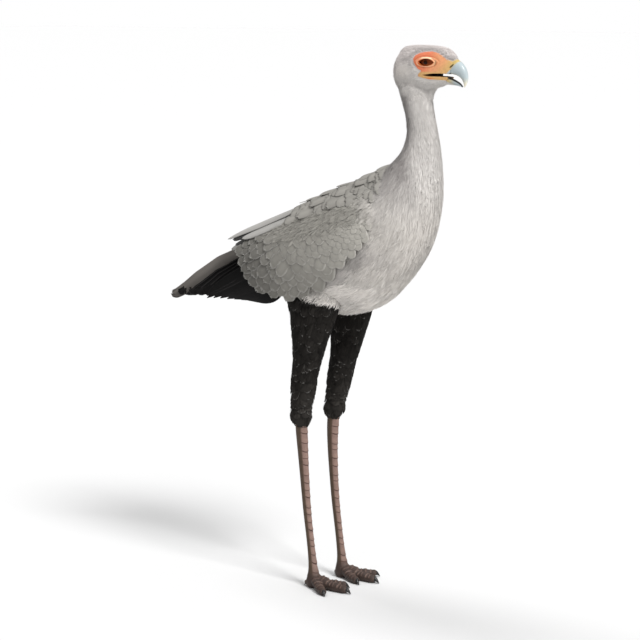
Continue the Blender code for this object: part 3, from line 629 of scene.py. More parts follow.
def new_object(name: str, points: Array, faces: list[Array]) -> Thing:
    """An object of the points, moved to the shared frame.

    Args:
        name: the object's name.
        points: its vertices, from the ankles' line.
        faces: arrays of faces, each of one corner count.

    Returns:
        The object, in the scene.
    """
    mesh = bpy.data.meshes.new(name)
    points = np.asarray(points, np.float32).reshape(-1, 3) + SHIFT.astype(np.float32)
    mesh.vertices.add(len(points))
    mesh.vertices.foreach_set("co", points.ravel())
    corners = np.concatenate([np.asarray(f).ravel() for f in faces])
    counts = np.concatenate([np.full(len(f), np.asarray(f).shape[1]) for f in faces])
    mesh.loops.add(len(corners))
    mesh.loops.foreach_set("vertex_index", corners.astype(np.int32))
    mesh.polygons.add(len(counts))
    mesh.polygons.foreach_set("loop_start", (np.cumsum(counts) - counts).astype(np.int32))
    mesh.update(calc_edges=True)
    mesh.validate()
    mesh.shade_smooth()
    return linked(name, mesh)


def vertices(obj: Thing, what: str) -> Array:
    """The vertices' "co" or "normal"."""
    found = np.empty(len(obj.data.vertices) * 3, np.float32)
    obj.data.vertices.foreach_get(what, found)
    return found.reshape(-1, 3).astype(float)


def co_of(obj: Thing) -> Array:
    """The vertices of an object, counted from the ankles' line again."""
    return vertices(obj, "co") - SHIFT


def facing(points: Array, quads: Array) -> Array:
    """Which way quads face: the cross product of the two edges that leave their first corner."""
    start = points[quads[:, 0]]
    return np.cross(points[quads[:, 1]] - start, points[quads[:, 3]] - start)


def loft(name: str, rings: Array) -> Thing:
    """A closed surface through rings, with a fan of triangles to the middle of each end.

    Args:
        name: the object's name.
        rings: points as rings by turns by three.

    Returns:
        The object, facing outwards.
    """
    count, around = rings.shape[:2]
    points = np.vstack([rings.reshape(-1, 3), rings[0].mean(0), rings[-1].mean(0)])
    j = np.arange(around)
    k = (j + 1) % around
    i = np.arange(count - 1)[:, None] * around
    quads = np.stack([i + j, i + k, i + around + k, i + around + j], -1).reshape(-1, 4)
    last = (count - 1) * around
    first_fan = np.stack([np.full(around, count * around), k, j], -1)
    last_fan = np.stack([np.full(around, count * around + 1), last + j, last + k], -1)
    if ((points[quads].mean(1) - rings.mean((0, 1))) * facing(points, quads)).sum() < 0:
        quads, first_fan, last_fan = quads[:, ::-1], first_fan[:, ::-1], last_fan[:, ::-1]
    return new_object(name, points, [quads, first_fan, last_fan])


def hoop(name: str, rings: Array) -> Thing:
    """A closed tube whose last ring meets its first.

    Args:
        name: the object's name.
        rings: points as rings by turns by three.

    Returns:
        The object, facing outwards.
    """
    count, around = rings.shape[:2]
    i, j = np.arange(count)[:, None], np.arange(around)
    m, k = (i + 1) % count, (j + 1) % around
    quads = np.stack([i * around + j, i * around + k, m * around + k, m * around + j], -1).reshape(-1, 4)
    points, middle = rings.reshape(-1, 3), np.repeat(rings.mean(1), around, axis=0)
    if ((points[quads].mean(1) - middle) * facing(points, quads)).sum() < 0:
        quads = quads[:, ::-1]
    return new_object(name, points, [quads])


def ball(name: str, centre: Array, radii: Array, tilt: float = 0.0, fine: int = 32) -> Thing:
    """An ellipsoid: the sine and cosine of a rising turn for its rings, tilted round the Y axis.

    Args:
        name: the object's name.
        centre: its middle.
        radii: along X, Y and Z before the tilt.
        tilt: its turn in radians.
        fine: points round it.

    Returns:
        The object.
    """
    rise = (np.arange(fine // 2) + 0.5) * math.pi / (fine // 2)
    turn = circle(fine)
    x = np.outer(np.cos(rise), np.ones(fine)) * radii[0]
    y, z = (np.outer(np.sin(rise), wave) * radius for wave, radius in
            ((np.cos(turn), radii[1]), (np.sin(turn), radii[2])))
    cosine, sine = math.cos(tilt), math.sin(tilt)
    turned = np.stack([x * cosine + z * sine, y, z * cosine - x * sine], -1)
    return loft(name, turned + np.asarray(centre))


def prism(name: str, outline: tuple, *ends: float) -> Thing:
    """A prism across the bird: an outline of X and Z, carried from one Y to another."""
    x, z = np.array(outline).T
    return loft(name, np.array([np.stack([x, np.full(len(x), y), z], -1) for y in ends]))


def applied(obj: Thing) -> Thing:
    """Replaces the mesh by what its modifiers make of it.

    Args:
        obj: the object to change.

    Returns:
        The same object.
    """
    graph = bpy.context.evaluated_depsgraph_get()
    mesh = bpy.data.meshes.new_from_object(obj.evaluated_get(graph), depsgraph=graph)
    obj.modifiers.clear()
    obj.data = mesh
    return obj


def boolean(obj: Thing, others: list[Thing], operation: str) -> Thing:
    """Joins other closed objects to one, or cuts them out of it, and removes them.

    Args:
        obj: the object to change.
        others: closed objects.
        operation: UNION or DIFFERENCE.

    Returns:
        The changed object.
    """
    for other in others:
        act = obj.modifiers.new("shape", "BOOLEAN")
        act.operation = operation
        act.solver = "MANIFOLD"
        act.object = other
    applied(obj)
    for other in others:
        bpy.data.objects.remove(other)
    return obj


def set_float(obj: Thing, name: str, values: Array) -> None:
    """Stores one number for each vertex."""
    layer = obj.data.attributes.new(name, "FLOAT", "POINT")
    layer.data.foreach_set("value", np.asarray(values, np.float32).ravel())


def set_colour(obj: Thing, name: str, values: Array) -> None:
    """Stores one linear colour for each vertex."""
    layer = obj.data.attributes.new(name, "FLOAT_COLOR", "POINT")
    full = np.concatenate([np.clip(values, 0, 1), np.ones((len(values), 1))], axis=1)
    layer.data.foreach_set("color", full.astype(np.float32).ravel())


def set_map(obj: Thing, name: str, places: Array) -> None:
    """Stores a UV map from one pair of numbers for each vertex.

    Args:
        obj: what it is stored on.
        name: the map's name.
        places: the pairs.
    """
    corners = np.empty(len(obj.data.loops), np.int32)
    obj.data.loops.foreach_get("vertex_index", corners)
    layer = obj.data.uv_layers.new(name=name)
    layer.uv.foreach_set("vector", places[corners].astype(np.float32).ravel())


# ---- finishes


Socket = bpy.types.NodeSocket
Plug = float | tuple | Socket


class Graph:
    """Puts nodes into a tree. Most methods add one and give its output."""

    def __init__(self, tree: bpy.types.NodeTree) -> None:
        """Starts on a tree."""
        self.tree = tree

    def fill(self, node: bpy.types.Node, plugs: dict[str | int, Plug]) -> None:
        """Sets a node's inputs to values, or links them to sockets.

        Args:
            node: the node.
            plugs: values or sockets by input.
        """
        for key, value in plugs.items():
            if isinstance(value, Socket):
                self.tree.links.new(value, node.inputs[key])
            else:
                node.inputs[key].default_value = value

    def add(self, kind: str, plugs: dict[str | int, Plug], out: str | int = 0, **settings: object) -> Socket:
        """Adds a node.

        Args:
            kind: the node's type.
            plugs: values or sockets by input.
            out: the wanted output.
            **settings: the node's own properties.

        Returns:
            The output.
        """
        made = self.tree.nodes.new(kind)
        for key, value in settings.items():
            setattr(made, key, value)
        self.fill(made, plugs)
        return made.outputs[out]

    def math(self, operation: str, a: Plug, b: Plug = 0.0) -> Socket:
        """Adds a sum on two numbers."""
        return self.add("ShaderNodeMath", {0: a, 1: b}, operation=operation)

    def times(self, product: Plug, *factors: Plug) -> Socket:
        """Adds products, one factor after another."""
        for factor in factors:
            product = self.math("MULTIPLY", product, factor)
        return product

    def plus(self, a: Plug, b: Plug) -> Socket:
        """Adds a plus b."""
        return self.math("ADD", a, b)

    def less(self, a: Plug, b: Plug) -> Socket:
        """Adds a less b."""
        return self.math("SUBTRACT", a, b)

    def ramp(self, value: Plug, low: Plug, high: Plug, to_low: float = 0.0, to_high: float = 1.0) -> Socket:
        """Adds a smooth step between two values."""
        plugs = {"Value": value, "From Min": low, "From Max": high, "To Min": to_low, "To Max": to_high}
        return self.add("ShaderNodeMapRange", plugs, interpolation_type="SMOOTHSTEP")

    def mix(self, share: Plug, a: Plug, b: Plug, mode: str = "MIX") -> Socket:
        """Adds a mix of two colours."""
        return self.add("ShaderNodeMix", {0: share, 6: a, 7: b}, 2, data_type="RGBA", blend_type=mode)

    def dim(self, colour: Plug, factor: Socket) -> Socket:
        """Adds a colour multiplied by a number."""
        grey = self.add("ShaderNodeCombineColor", {0: factor, 1: factor, 2: factor})
        return self.mix(1.0, colour, grey, "MULTIPLY")

    def noise(self, place: Socket, scale: Plug, detail: float = 3.0, rough: float = 0.55) -> Socket:
        """Adds soft noise."""
        plugs = {"Vector": place, "Scale": scale, "Detail": detail, "Roughness": rough}
        return self.add("ShaderNodeTexNoise", plugs)

    def value(self, name: str, out: str = "Fac") -> Socket:
        """Reads an attribute."""
        return self.add("ShaderNodeAttribute", {}, out, attribute_name=name)

    def place(self) -> Socket:
        """Reads the object's coordinates."""
        return self.add("ShaderNodeTexCoord", {}, "Object")

    def group(self, name: str, plugs: dict[str, Plug]) -> tuple[Socket, Socket]:
        """Places a node group over the piece's own tint, and gives its colour and height.

        Args:
            name: the group's name.
            plugs: its inputs besides the colour.

        Returns:
            The two outputs.
        """
        node = self.tree.nodes.new("ShaderNodeGroup")
        node.node_tree = bpy.data.node_groups[name]
        self.fill(node, {"Colour": self.value("tint", "Color"), **plugs})
        return node.outputs["Colour"], node.outputs["Height"]


def new_group(name: str, inputs: dict[str, float]) -> tuple[Graph, dict[str, Socket], bpy.types.Node]:
    """Starts a node group that takes a colour and numbers, and puts out a colour and a height.

    Args:
        name: the group's name.
        inputs: the numbers' names and values.

    Returns:
        The graph, the inputs' sockets by name, and the node that takes the outputs.
    """
    tree = bpy.data.node_groups.new(name, "ShaderNodeTree")
    for key, value in {"Colour": (0.5, 0.5, 0.5, 1), **inputs}.items():
        kind = "NodeSocketColor" if key == "Colour" else "NodeSocketFloat"
        tree.interface.new_socket(name=key, in_out="INPUT", socket_type=kind).default_value = value
    tree.interface.new_socket(name="Colour", in_out="OUTPUT", socket_type="NodeSocketColor")
    tree.interface.new_socket(name="Height", in_out="OUTPUT", socket_type="NodeSocketFloat")
    given = dict(tree.nodes.new("NodeGroupInput").outputs.items())
    return Graph(tree), given, tree.nodes.new("NodeGroupOutput")


def vane_group() -> None:
    """Barbs, shaft and margin of a feather, read from its own map: U across it and V from root to tip.

    The distance from the shaft is twice the distance of U from one half. The margin is the last part of
    that distance or of V. The barbs are a sine of V less a share of the distance.
    """
    graph, given, end = new_group(
        "vane detail", {"Margin": 0.3, "Margin Start": 0.82, "Spread": 0.1, "Root Dark": 0.3, "Barbs": 40.0,
                        "Aspect": 4.0, "Rare": -1.0})
    place = graph.add("ShaderNodeUVMap", {}, uv_map="Vane")
    u, v = (graph.add("ShaderNodeSeparateXYZ", {0: place}, k) for k in (0, 1))
    apart = graph.times(graph.math("ABSOLUTE", graph.less(u, 0.5)), 2.0)
    edge = graph.math("MAXIMUM", apart, graph.less(1.0, graph.times(graph.less(1.0, v), given["Aspect"])))
    fine, drawn = graph.noise(graph.place(), 260.0, 2.0), graph.value("lot")
    margin = graph.times(
        graph.ramp(edge, given["Margin Start"], 1.0), graph.ramp(fine, 0.25, 0.6, 0.55, 1.0), given["Margin"],
        graph.math("GREATER_THAN", drawn, given["Rare"]))
    shade = graph.plus(1.0, graph.times(graph.less(drawn, 0.5), given["Spread"]))
    # darker towards the root: painted shade where the feathers above overlap it
    rooted = graph.less(1.0, graph.times(graph.ramp(v, 0.55, 0.15), given["Root Dark"]))
    rooted = graph.times(rooted, graph.ramp(edge, 0.2, 0.6, 1.04, 0.95))
    shaft = graph.ramp(apart, 0.1, 0.0)
    slant = graph.less(graph.times(v, given["Barbs"]), graph.times(apart, 5.0))
    barb = graph.math("SINE", graph.times(slant, 2 * math.pi))
    ripple = graph.plus(1.0, graph.times(barb, 0.035))
    whole = graph.plus(graph.times(shade, rooted, ripple), graph.times(shaft, 0.05))
    colour = graph.dim(given["Colour"], whole)
    colour = graph.mix(margin, colour, graph.mix(0.55, colour, (0.9, 0.88, 0.84, 1.0)))
    height = graph.plus(graph.times(barb, 0.25), graph.times(shaft, 0.8))
    graph.fill(end, {"Colour": colour, "Height": graph.plus(height, graph.times(fine, 0.5))})


def grain_group() -> None:
    """Two sizes of noise, for skin and horn: both shift the colour, and the fine one gives most height."""
    graph, given, end = new_group("grain", {"Coarse": 40.0, "Fine": 600.0, "Depth": 0.2})
    place = graph.place()
    soft, fine = graph.noise(place, given["Coarse"], 4.0, 0.5), graph.noise(place, given["Fine"], 3.0, 0.5)
    swing = graph.plus(*(graph.times(graph.less(each, 0.5), given["Depth"]) for each in (soft, fine)))
    colour = graph.dim(given["Colour"], graph.plus(1.0, graph.times(swing, 2.0)))
    graph.fill(end, {"Colour": colour, "Height": graph.plus(fine, graph.times(soft, 0.5))})


@dataclass(frozen=True)
class Finish:
    """A material that reads the piece's own tint, and what its detail is like."""

    name: str
    roughness: float
    sheen: float = 0.0
    coat: float = 0.0
    bump: float = 0.3
    depth: float = 0.0003
    specular: float = 0.25

    def detail(self, graph: Graph) -> tuple[Socket, Socket]:
        """Adds the detail, and gives its colour and height."""
        raise NotImplementedError

    @cache
    def build(self) -> Material:
        """The material, made at the first call and shared by all that wear it.

        Returns:
            The material.
        """
        made = bpy.data.materials.new(self.name)
        made.use_nodes = True
        graph = Graph(made.node_tree)
        colour, height = self.detail(graph)
        bump = {"Strength": self.bump, "Distance": self.depth, "Height": height}
        graph.fill(made.node_tree.nodes["Principled BSDF"], {
            "Roughness": self.roughness, "Sheen Weight": self.sheen, "Sheen Roughness": 0.5,
            "Coat Weight": self.coat, "Coat Roughness": 0.08, "Specular IOR Level": self.specular,
            "Base Color": colour, "Normal": graph.add("ShaderNodeBump", bump)})
        return made


@dataclass(frozen=True)
class FeatherFinish(Finish):
    """Feathers: margin, shaft and barbs over the tint."""

    margin: float = 0.0
    margin_start: float = 0.85
    spread: float = 0.12
    # how much the root is darkened, as painted shade under the overlapping feathers
    root_dark: float = 0.25
    barbs: float = 18.0
    aspect: float = 4.0
    rare: float = -1.0

    def detail(self, graph: Graph) -> tuple[Socket, Socket]:
        """The vane group with this finish's values."""
        return graph.group("vane detail", {
            "Margin": self.margin, "Margin Start": self.margin_start, "Spread": self.spread,
            "Root Dark": self.root_dark, "Barbs": self.barbs, "Aspect": self.aspect, "Rare": self.rare})


@dataclass(frozen=True)
class GrainFinish(Finish):
    """Skin or horn: grain over the tint."""

    coarse: float = 40.0
    fine: float = 600.0
    mottle: float = 0.12

    def detail(self, graph: Graph) -> tuple[Socket, Socket]:
        """The grain group with this finish's values."""
        return graph.group("grain", {"Coarse": self.coarse, "Fine": self.fine, "Depth": self.mottle})


@dataclass(frozen=True)
class SkinFinish(Finish):
    """The one skin: scaly plates on the legs, fine folds on the face, plain under the feathers."""

    def detail(self, graph: Graph) -> tuple[Socket, Socket]:
        """Grain, with seams of small scales all over the legs and lines between the plates in front.

        Args:
            graph: the material's graph.

        Returns:
            Colour and height.
        """
        colour, height = graph.group("grain", {"Coarse": 60.0, "Fine": 500.0, "Depth": 0.1})
        cells = graph.add("ShaderNodeTexVoronoi", {"Vector": graph.place(), "Scale": 420.0}, "Distance",
                          feature="DISTANCE_TO_EDGE")
        seam = graph.times(graph.ramp(cells, 0.1, 0.0), graph.times(graph.value("leg"), 0.3))
        part = graph.math("FRACT", graph.value("plate"))
        near = graph.math("MINIMUM", part, graph.less(1.0, part))
        line = graph.times(graph.ramp(near, 0.085, 0.02), graph.value("front"), 0.9)
        for share in (seam, line):
            colour = graph.mix(share, colour, (*Shade.PLATE_LINE.linear, 1.0))
        return colour, graph.less(height, graph.times(seam, 1.5))


@dataclass(frozen=True)
class EyeFinish(Finish):
    """A wet eye: a black pupil in a red-brown iris that darkens to its rim."""

    side: int = 1

    def detail(self, graph: Graph) -> tuple[Socket, Socket]:
        """Rays in the iris, lighter low down, with the pupil and the upper lid's shadow over them.

        Args:
            graph: the material's graph.

        Returns:
            Colour and height.
        """
        place, black = graph.place(), (0.02, 0.005, 0.002, 1.0)
        middle = (EYE[0] + SHIFT[0] + 0.0005, self.side * (EYE[1] + EYE_RADII[1]), EYE[2])
        away = graph.add("ShaderNodeVectorMath", {0: place, 1: middle}, 1, operation="DISTANCE")
        rays = graph.noise(place, 900.0, 2.0)
        height = graph.add("ShaderNodeSeparateXYZ", {0: place}, 2)
        iris = graph.mix(rays, (0.17, 0.032, 0.006, 1.0), (0.08, 0.014, 0.003, 1.0))
        iris = graph.mix(graph.ramp(height, EYE[2] - 0.001, EYE[2] - 0.008), iris, (0.42, 0.11, 0.018, 1.0))
        colour = graph.mix(graph.ramp(away, 0.0058, 0.0034), iris, black)
        return graph.mix(graph.ramp(height, EYE[2] + 0.002, EYE[2] + 0.008), colour, black), rays


# ---- feathers


@dataclass(frozen=True)
class Kind:
    """One kind of feather.

    Fields:
        outline: its half width along its length.
        rows: points along it.
        cols: points across it.
        sink: height of its root over the surface.
        rise: height of its tip.
        camber: how far its edges bend down, as a share of the half width.
        ragged: how unevenly its tip ends, as a share of the length.
        flick: random extra height of the tip.
        bow: random sideways bend, as a share of the length.
        thick: thickness, or 0 for a single sheet.
    """

    outline: Outline
    rows: int
    cols: int
    sink: float
    rise: float
    camber: float = 0.15
    ragged: float = 0.0
    flick: float = 0.0
    bow: float = 0.0
    thick: float = 0.0


@dataclass
class Batch:
    """Feathers of one kind laid on a surface: points, own map, roots' shares of the surface, and lots."""

    points: Array
    places: Array
    roots: Array | None
    lots: Array
    thick: float
    normals: Array


def lay(surface: Surface, kind: Kind, a: Array, b: Array, turn: Array, length: Array, width: Array,
        draw: Random, lift: Array | float = 0.0) -> Batch:
    """Lays feathers on a surface.

    A point at share t of the length and s from -1 to 1 across lies t times the length ahead of the
    root, and s times the outline's half width to the side, both measured over the surface. Its height
    goes from sink to rise with a smooth step of t, less camber times s squared times the half width.

    Args:
        surface: what they lie on.
        kind: what they are like.
        a: rows of the roots.
        b: columns of the roots.
        turn: heading of each feather on the surface.
        length: of each feather.
        width: of each feather.
        draw: random numbers.
        lift: extra height of each whole feather.

    Returns:
        The batch.
    """
    count = len(a)
    t = (1 - (1 - np.linspace(0, 1, kind.rows)) ** 1.4)[:, None]
    s = np.linspace(-1, 1, kind.cols)
    length, width, turn, lift = (
        np.broadcast_to(each, count)[:, None, None] for each in (length, width, turn, lift))
    half = kind.outline.half_width(t) * width / 2
    tips = draw.uniform(-1, 1, (count, 1, kind.cols)) * kind.ragged
    reach = t * length * (1 + tips * t**3)
    bend = draw.uniform(-1, 1, (count, 1, 1)) * kind.bow * length * t**2
    sweep = s * half + bend
    along, over = (np.linalg.norm(surface.read(table, a, b), axis=-1)[:, None, None]
                   for table in (surface.along, surface.over))
    cosine, sine = np.cos(turn), np.sin(turn)
    rows = a[:, None, None] + (reach * cosine - sweep * sine) / along
    cols = b[:, None, None] + (reach * sine + sweep * cosine) / np.maximum(over, 1e-5)
    ease = step(t, 0.0, 1.0) * 0.5 + t * 0.5
    tip = kind.rise + kind.flick * draw.uniform(0, 1, (count, 1, 1))
    height = kind.sink + (tip - kind.sink) * ease - kind.camber * s**2 * half
    points = surface.at(rows, cols, height + lift)
    places = np.stack([np.broadcast_to(share, points.shape[:3]) for share in (s / 2 + 0.5, t)], -1)
    wrap = surface.grid.shape[1] - (0 if surface.closed else 1)
    roots = np.stack([a / (surface.grid.shape[0] - 1), (b / wrap) % 1.0], -1)
    middle = slice(None), kind.rows // 2, kind.cols // 2
    out = surface.read(surface.normal, rows[middle], cols[middle])
    return Batch(points, places, roots, draw.uniform(0, 1, count), kind.thick, out)


def grid_quads(count: int, rows: int, cols: int) -> Array:
    """Quads of many grids of points, one after another.

    Args:
        count: how many grids.
        rows: points along each.
        cols: points across each.

    Returns:
        Four indices for each quad.
    """
    i, j = np.arange(rows - 1)[:, None], np.arange(cols - 1)
    first = i * cols + j
    one = np.stack([first, first + 1, first + cols + 1, first + cols], -1).reshape(-1, 4)
    return (np.arange(count)[:, None, None] * rows * cols + one).reshape(-1, 4)


def rim_of(rows: int, cols: int) -> Array:
    """Indices of a grid's border in order round it.

    Args:
        rows: points along the grid.
        cols: points across it.

    Returns:
        The indices.
    """
    top = np.arange(cols)
    right = np.arange(1, rows) * cols + cols - 1
    bottom = (rows - 1) * cols + np.arange(cols - 2, -1, -1)
    left = np.arange(rows - 2, 0, -1) * cols
    return np.concatenate([top, right, bottom, left])


@dataclass
class Coat:
    """A piece made of many feathers.

    Fields:
        name: its name.
        slot: a slot name; not used.
        atlas: whether each feather gets a cell of its own in the bake map, as large ones do.
        batches: the feathers, with a colour for each of their points.
    """

    name: str
    slot: str
    atlas: bool = False
    batches: list[tuple[Batch, Array]] = field(default_factory=list)

    def add(self, batch: Batch, tint: Array) -> None:
        """Adds a batch with a colour for each feather, or for each of its points."""
        if tint.ndim == 2:
            tint = tint[:, None, None, :]
        self.batches.append((batch, np.broadcast_to(tint, batch.points.shape)))

    def build(self, material: Material) -> Thing:
        """Makes the mesh. A feather with a thickness gets an underside, and a wall round its border.

        Args:
            material: what it wears.

        Returns:
            The piece, riding on the body.
        """
        points, places, baked, tints, lots, faces, smooth = ([] for _ in range(7))
        start = first = 0
        total = sum(len(batch.lots) for batch, _ in self.batches)
        side = math.ceil(math.sqrt(total))
        if not self.atlas:
            roots = np.vstack([batch.roots for batch, _ in self.batches])
            least, span = roots.min(0), np.ptp(roots, axis=0)
        for batch, tint in self.batches:
            count, rows, cols = batch.points.shape[:3]
            grid = batch.points.reshape(count, -1, 3)
            if self.atlas:
                cell = np.stack(np.divmod(np.arange(first, first + count), side), -1)[:, None, None]
                patch = (cell + 0.06 + 0.88 * batch.places) / side
            else:
                root = 0.004 + 0.992 * ((batch.roots - least) / span)[:, None, None]
                patch = root + 0.003 * (batch.places - 0.5)
            first += count
            quads = grid_quads(count, rows, cols)
            outwards = np.repeat(batch.normals, (rows - 1) * (cols - 1), axis=0)
            flip = (facing(grid.reshape(-1, 3), quads) * outwards).sum() < 0
            quads = quads[:, ::-1] if flip else quads
            layers, round_it = 1, np.ones(len(quads), bool)
            if batch.thick:
                layers = 2
                under = grid - batch.normals[:, None] * batch.thick
                size = rows * cols
                upper = quads % size + quads // size * 2 * size
                rim = rim_of(rows, cols)
                after = np.roll(rim, -1)
                wall = np.stack([rim, rim + size, after + size, after], -1)
                wall = wall[:, ::-1] if flip else wall
                walls = (np.arange(count)[:, None, None] * 2 * size + wall).reshape(-1, 4)
                round_it = np.arange(2 * len(upper) + len(walls)) < 2 * len(upper)
                quads = np.vstack([upper, (upper + size)[:, ::-1], walls])
                grid = np.concatenate([grid, under], axis=1)
            points.append(grid.reshape(-1, 3))
            for stack, values in ((places, batch.places), (baked, patch), (tints, tint)):
                wide = values.shape[-1]
                stack.append(np.tile(values.reshape(count, -1, wide), [1, layers, 1]).reshape(-1, wide))
            lots.append(np.repeat(batch.lots, rows * cols * layers))
            faces.append(quads + start)
            smooth.append(round_it)
            start += count * rows * cols * layers
        made = new_object(self.name, np.vstack(points), [np.vstack(faces)])
        made.data.polygons.foreach_set("use_smooth", np.concatenate(smooth))
        set_map(made, "Vane", np.vstack(places))
        set_map(made, "OFBake", np.vstack(baked))
        set_colour(made, "tint", np.vstack(tints))
        set_float(made, "lot", np.concatenate(lots))
        made.data.materials.append(material)
        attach(made, "root")
        log.info("%s: %d feathers, %d faces", self.name, total, len(made.data.polygons))
        return made


# ---- markings


def envelope_place(points: Array) -> tuple[Array, Array]:
    """XI and ARC of places near the envelope: the inverse of `slanted`, then the angle round the middle.

    Args:
        points: the places.

    Returns:
        XI and ARC.
    """
    x, z = points[..., 0] - WITHERS[0], points[..., 2] - WITHERS[1]
    cosine, sine = math.cos(TRUNK_PITCH), math.sin(TRUNK_PITCH)
    xi, eta = -x * cosine - z * sine, -x * sine + z * cosine
    width, half, middle = looked_up(ENVELOPE, xi)
    return xi, np.arctan2(np.abs(points[..., 1]) / width, (eta - middle) / half) * ARC_RADIUS


def body_tint(points: Array) -> Array:
    """Trunk and neck: pale grey above, cream to the belly, a dark spot, painted shade on the nape and by the
    wing.

    Args:
        points: places on the bird.

    Returns:
        Linear colours.
    """
    x, z = points[..., 0], points[..., 2]
    # painted shade: the back of the neck is darkened towards its back edge
    nape = step(x - 0.19 - 0.5 * np.maximum(0, 0.93 - z), 0.012, -0.012) * step(z, 0.82, 0.92)
    back = step(z - 0.36 * x - 0.8, -0.012, 0.018) * step(z, 0.93, 0.89) * step(x, 0.165, 0.125)
    # painted shade on the trunk along the folded wing's front and lower edge
    shaded = step(inside(COVERT_ZONE, *envelope_place(points)), -0.034, -0.004) * step(z, 0.8, 0.76)
    colour = painted(
        Shade.BREAST.linear,
        (Shade.NECK, step(z, 0.78, 0.92)),
        (Shade.BELLY, step(z + 0.35 * x, 0.76, 0.66)),
        (Shade.CROWN.linear * 0.52, 0.92 * nape),
        (Shade.MANTLE, back),
        (Shade.DARK_GREY, 0.35 * spot(x, z, (0.165, 0.735), (0.03, 0.022))),
        (Shade.DARK_GREY, 0.55 * shaded),
    )
    patch = step(wobble(points, 0.11, 3), 0.35, 1.2) * step(z, 0.88, 0.8)
    return mixed(colour, colour * 0.86, patch) * (1 + 0.04 * wobble(points, 0.03, 4))[..., None]


def head_tint(points: Array) -> Array:
    """Markings of the head's feathers: grey crown, paler cheek, dark behind the bare skin.

    Args:
        points: places on the bird.

    Returns:
        Linear colours.
    """
    x, z = points[..., 0], points[..., 2]
    rim = np.abs(inside(BARE_FACE, x, z) + 0.0035)
    dark = step(rim, 0.005, 0.0) * step(z, 1.072, 1.085)
    dark = np.maximum(dark, spot(x, z, (0.186, 1.0945), (0.01, 0.003)))
    across, along = 0.79 * z - 0.61 * x, 0.79 * x + 0.61 * z
    streak = wobble(np.stack([across, 0.14 * along, 0.3 * points[..., 1]], -1), 0.0035, 36)
    streak = streak * step(z, 1.065, 1.05) * step(z, 1.005, 1.02) * step(x, 0.222, 0.205)
    colour = painted(
        Shade.NECK.linear,
        (Shade.CROWN, step(z, 1.06, 1.1)),
        (Shade.BELLY, 0.9 * spot(x, z, (0.178, 1.076), (0.022, 0.013))),
    ) * (1 + 0.09 * streak)[..., None]
    return painted(colour, (Shade.DARK_GREY, 0.5 * dark)) * (1 + 0.03 * wobble(points, 0.02, 5))[..., None]


def lid_ring(x: Array, z: Array) -> Array:
    """Distance from the eye's middle, in sizes of the opening between the lids."""
    return np.hypot((x - EYE[0]) / LID_OPENING[0], (z - EYE[2]) / LID_OPENING[1])


def past_bill_line(x: Array, z: Array) -> Array:
    """Distance ahead of the line where the yellow skin ends on the horn."""
    (x0, z0), (x1, z1) = BILL_LINE
    return ((x - x0) * (z1 - z0) - (z - z0) * (x1 - x0)) / math.hypot(x1 - x0, z1 - z0)


def face_tint(points: Array) -> Array:
    """Colours of the bare face: orange round the eye, peach below, yellow to the gape and the cere.

    Args:
        points: places on the bird.

    Returns:
        Linear colours.
    """
    x, z = points[..., 0], points[..., 2]
    ring = lid_ring(x, z)
    above = step(z, EYE[2] - 0.001, EYE[2] + 0.004)
    middle = step(np.abs(x - EYE[0]) / LID_OPENING[0], 1.05, 0.55)
    ember = Shade.EMBER.linear
    # painted shade in the crease before the eye, where the skin's shape is creased too
    fold = np.exp(-(((x - 0.2458 - 0.2 * (z - 1.0875)) / 0.0011) ** 2 + ((z - 1.0875) / 0.0052) ** 2))
    colour = painted(
        Shade.ORANGE.linear,
        (Shade.PEACH, step(x + 0.4 * (1.09 - z), 0.222, 0.252)),
        (Shade.YELLOW, step(x + 0.9 * (1.085 - z), 0.25, 0.276)),
        (Shade.YELLOW, step(z, 1.0725, 1.0685) * step(x, 0.205, 0.216)),
        (Shade.OLIVE, 0.5 * step(x, 0.264, 0.278)),
        (Shade.EMBER, 0.85 * spot(x, z, (0.232, 1.0575), (0.007, 0.0022))),
        (Shade.PEACH, step(np.abs(ring - 1.16), 0.16, 0.02) * 0.7),
        # painted highlight on the upper lid's fold: a pale cream band over the eye, brightest over its middle
        (Shade.LID, step(np.abs(ring - 1.3), 0.24, 0.12) * above * (0.2 + 0.8 * middle)),
        (Shade.LID, 0.45 * step(np.abs(ring - 1.16), 0.12, 0.04) * (1 - above)),
        # painted shade in the groove over the upper lid
        (ember * 0.5, step(np.abs(ring - 1.66), 0.12, 0.02) * above * 0.45),
        (ember * 0.5, step(np.abs(ring - 1.42), 0.14, 0.04) * (1 - above) * 0.5),
        # the crease's painted shade
        (Shade.OLIVE.linear * 0.25, 0.8 * fold),
        # painted shade inside the eye's opening
        (ember * 0.6, step(ring, 1.02, 0.94)),
        (Shade.HORN_BLUE, step(past_bill_line(x, z), -0.001, 0.001) * step(z, 1.0655, 1.0675)),
    )
    return colour * (1 + 0.05 * wobble(points, 0.006, 6))[..., None]


def nostril_mark(x: Array, z: Array) -> Array:
    """1 inside the nostril's slanted slit, from its two half lengths."""
    turned = (x - NOSTRIL[0]) * math.cos(NOSTRIL_SLOPE) + (z - NOSTRIL[2]) * math.sin(NOSTRIL_SLOPE)
    athwart = -(x - NOSTRIL[0]) * math.sin(NOSTRIL_SLOPE) + (z - NOSTRIL[2]) * math.cos(NOSTRIL_SLOPE)
    return step(np.hypot(turned / 0.0056, athwart / 0.0014), 1.1, 0.8)


def leg_tint(points: Array, front: Array, foot: Array) -> Array:
    """Colours of the bare leg: brown-pink in front, olive at the side, dark brown on the toes."""
    colour = painted(Shade.SHIN_SIDE.linear, (Shade.SHIN, front), (Shade.TOE, foot))
    return colour * (1 + 0.1 * wobble(points, 0.02, 7))[..., None]


# ---- the bird


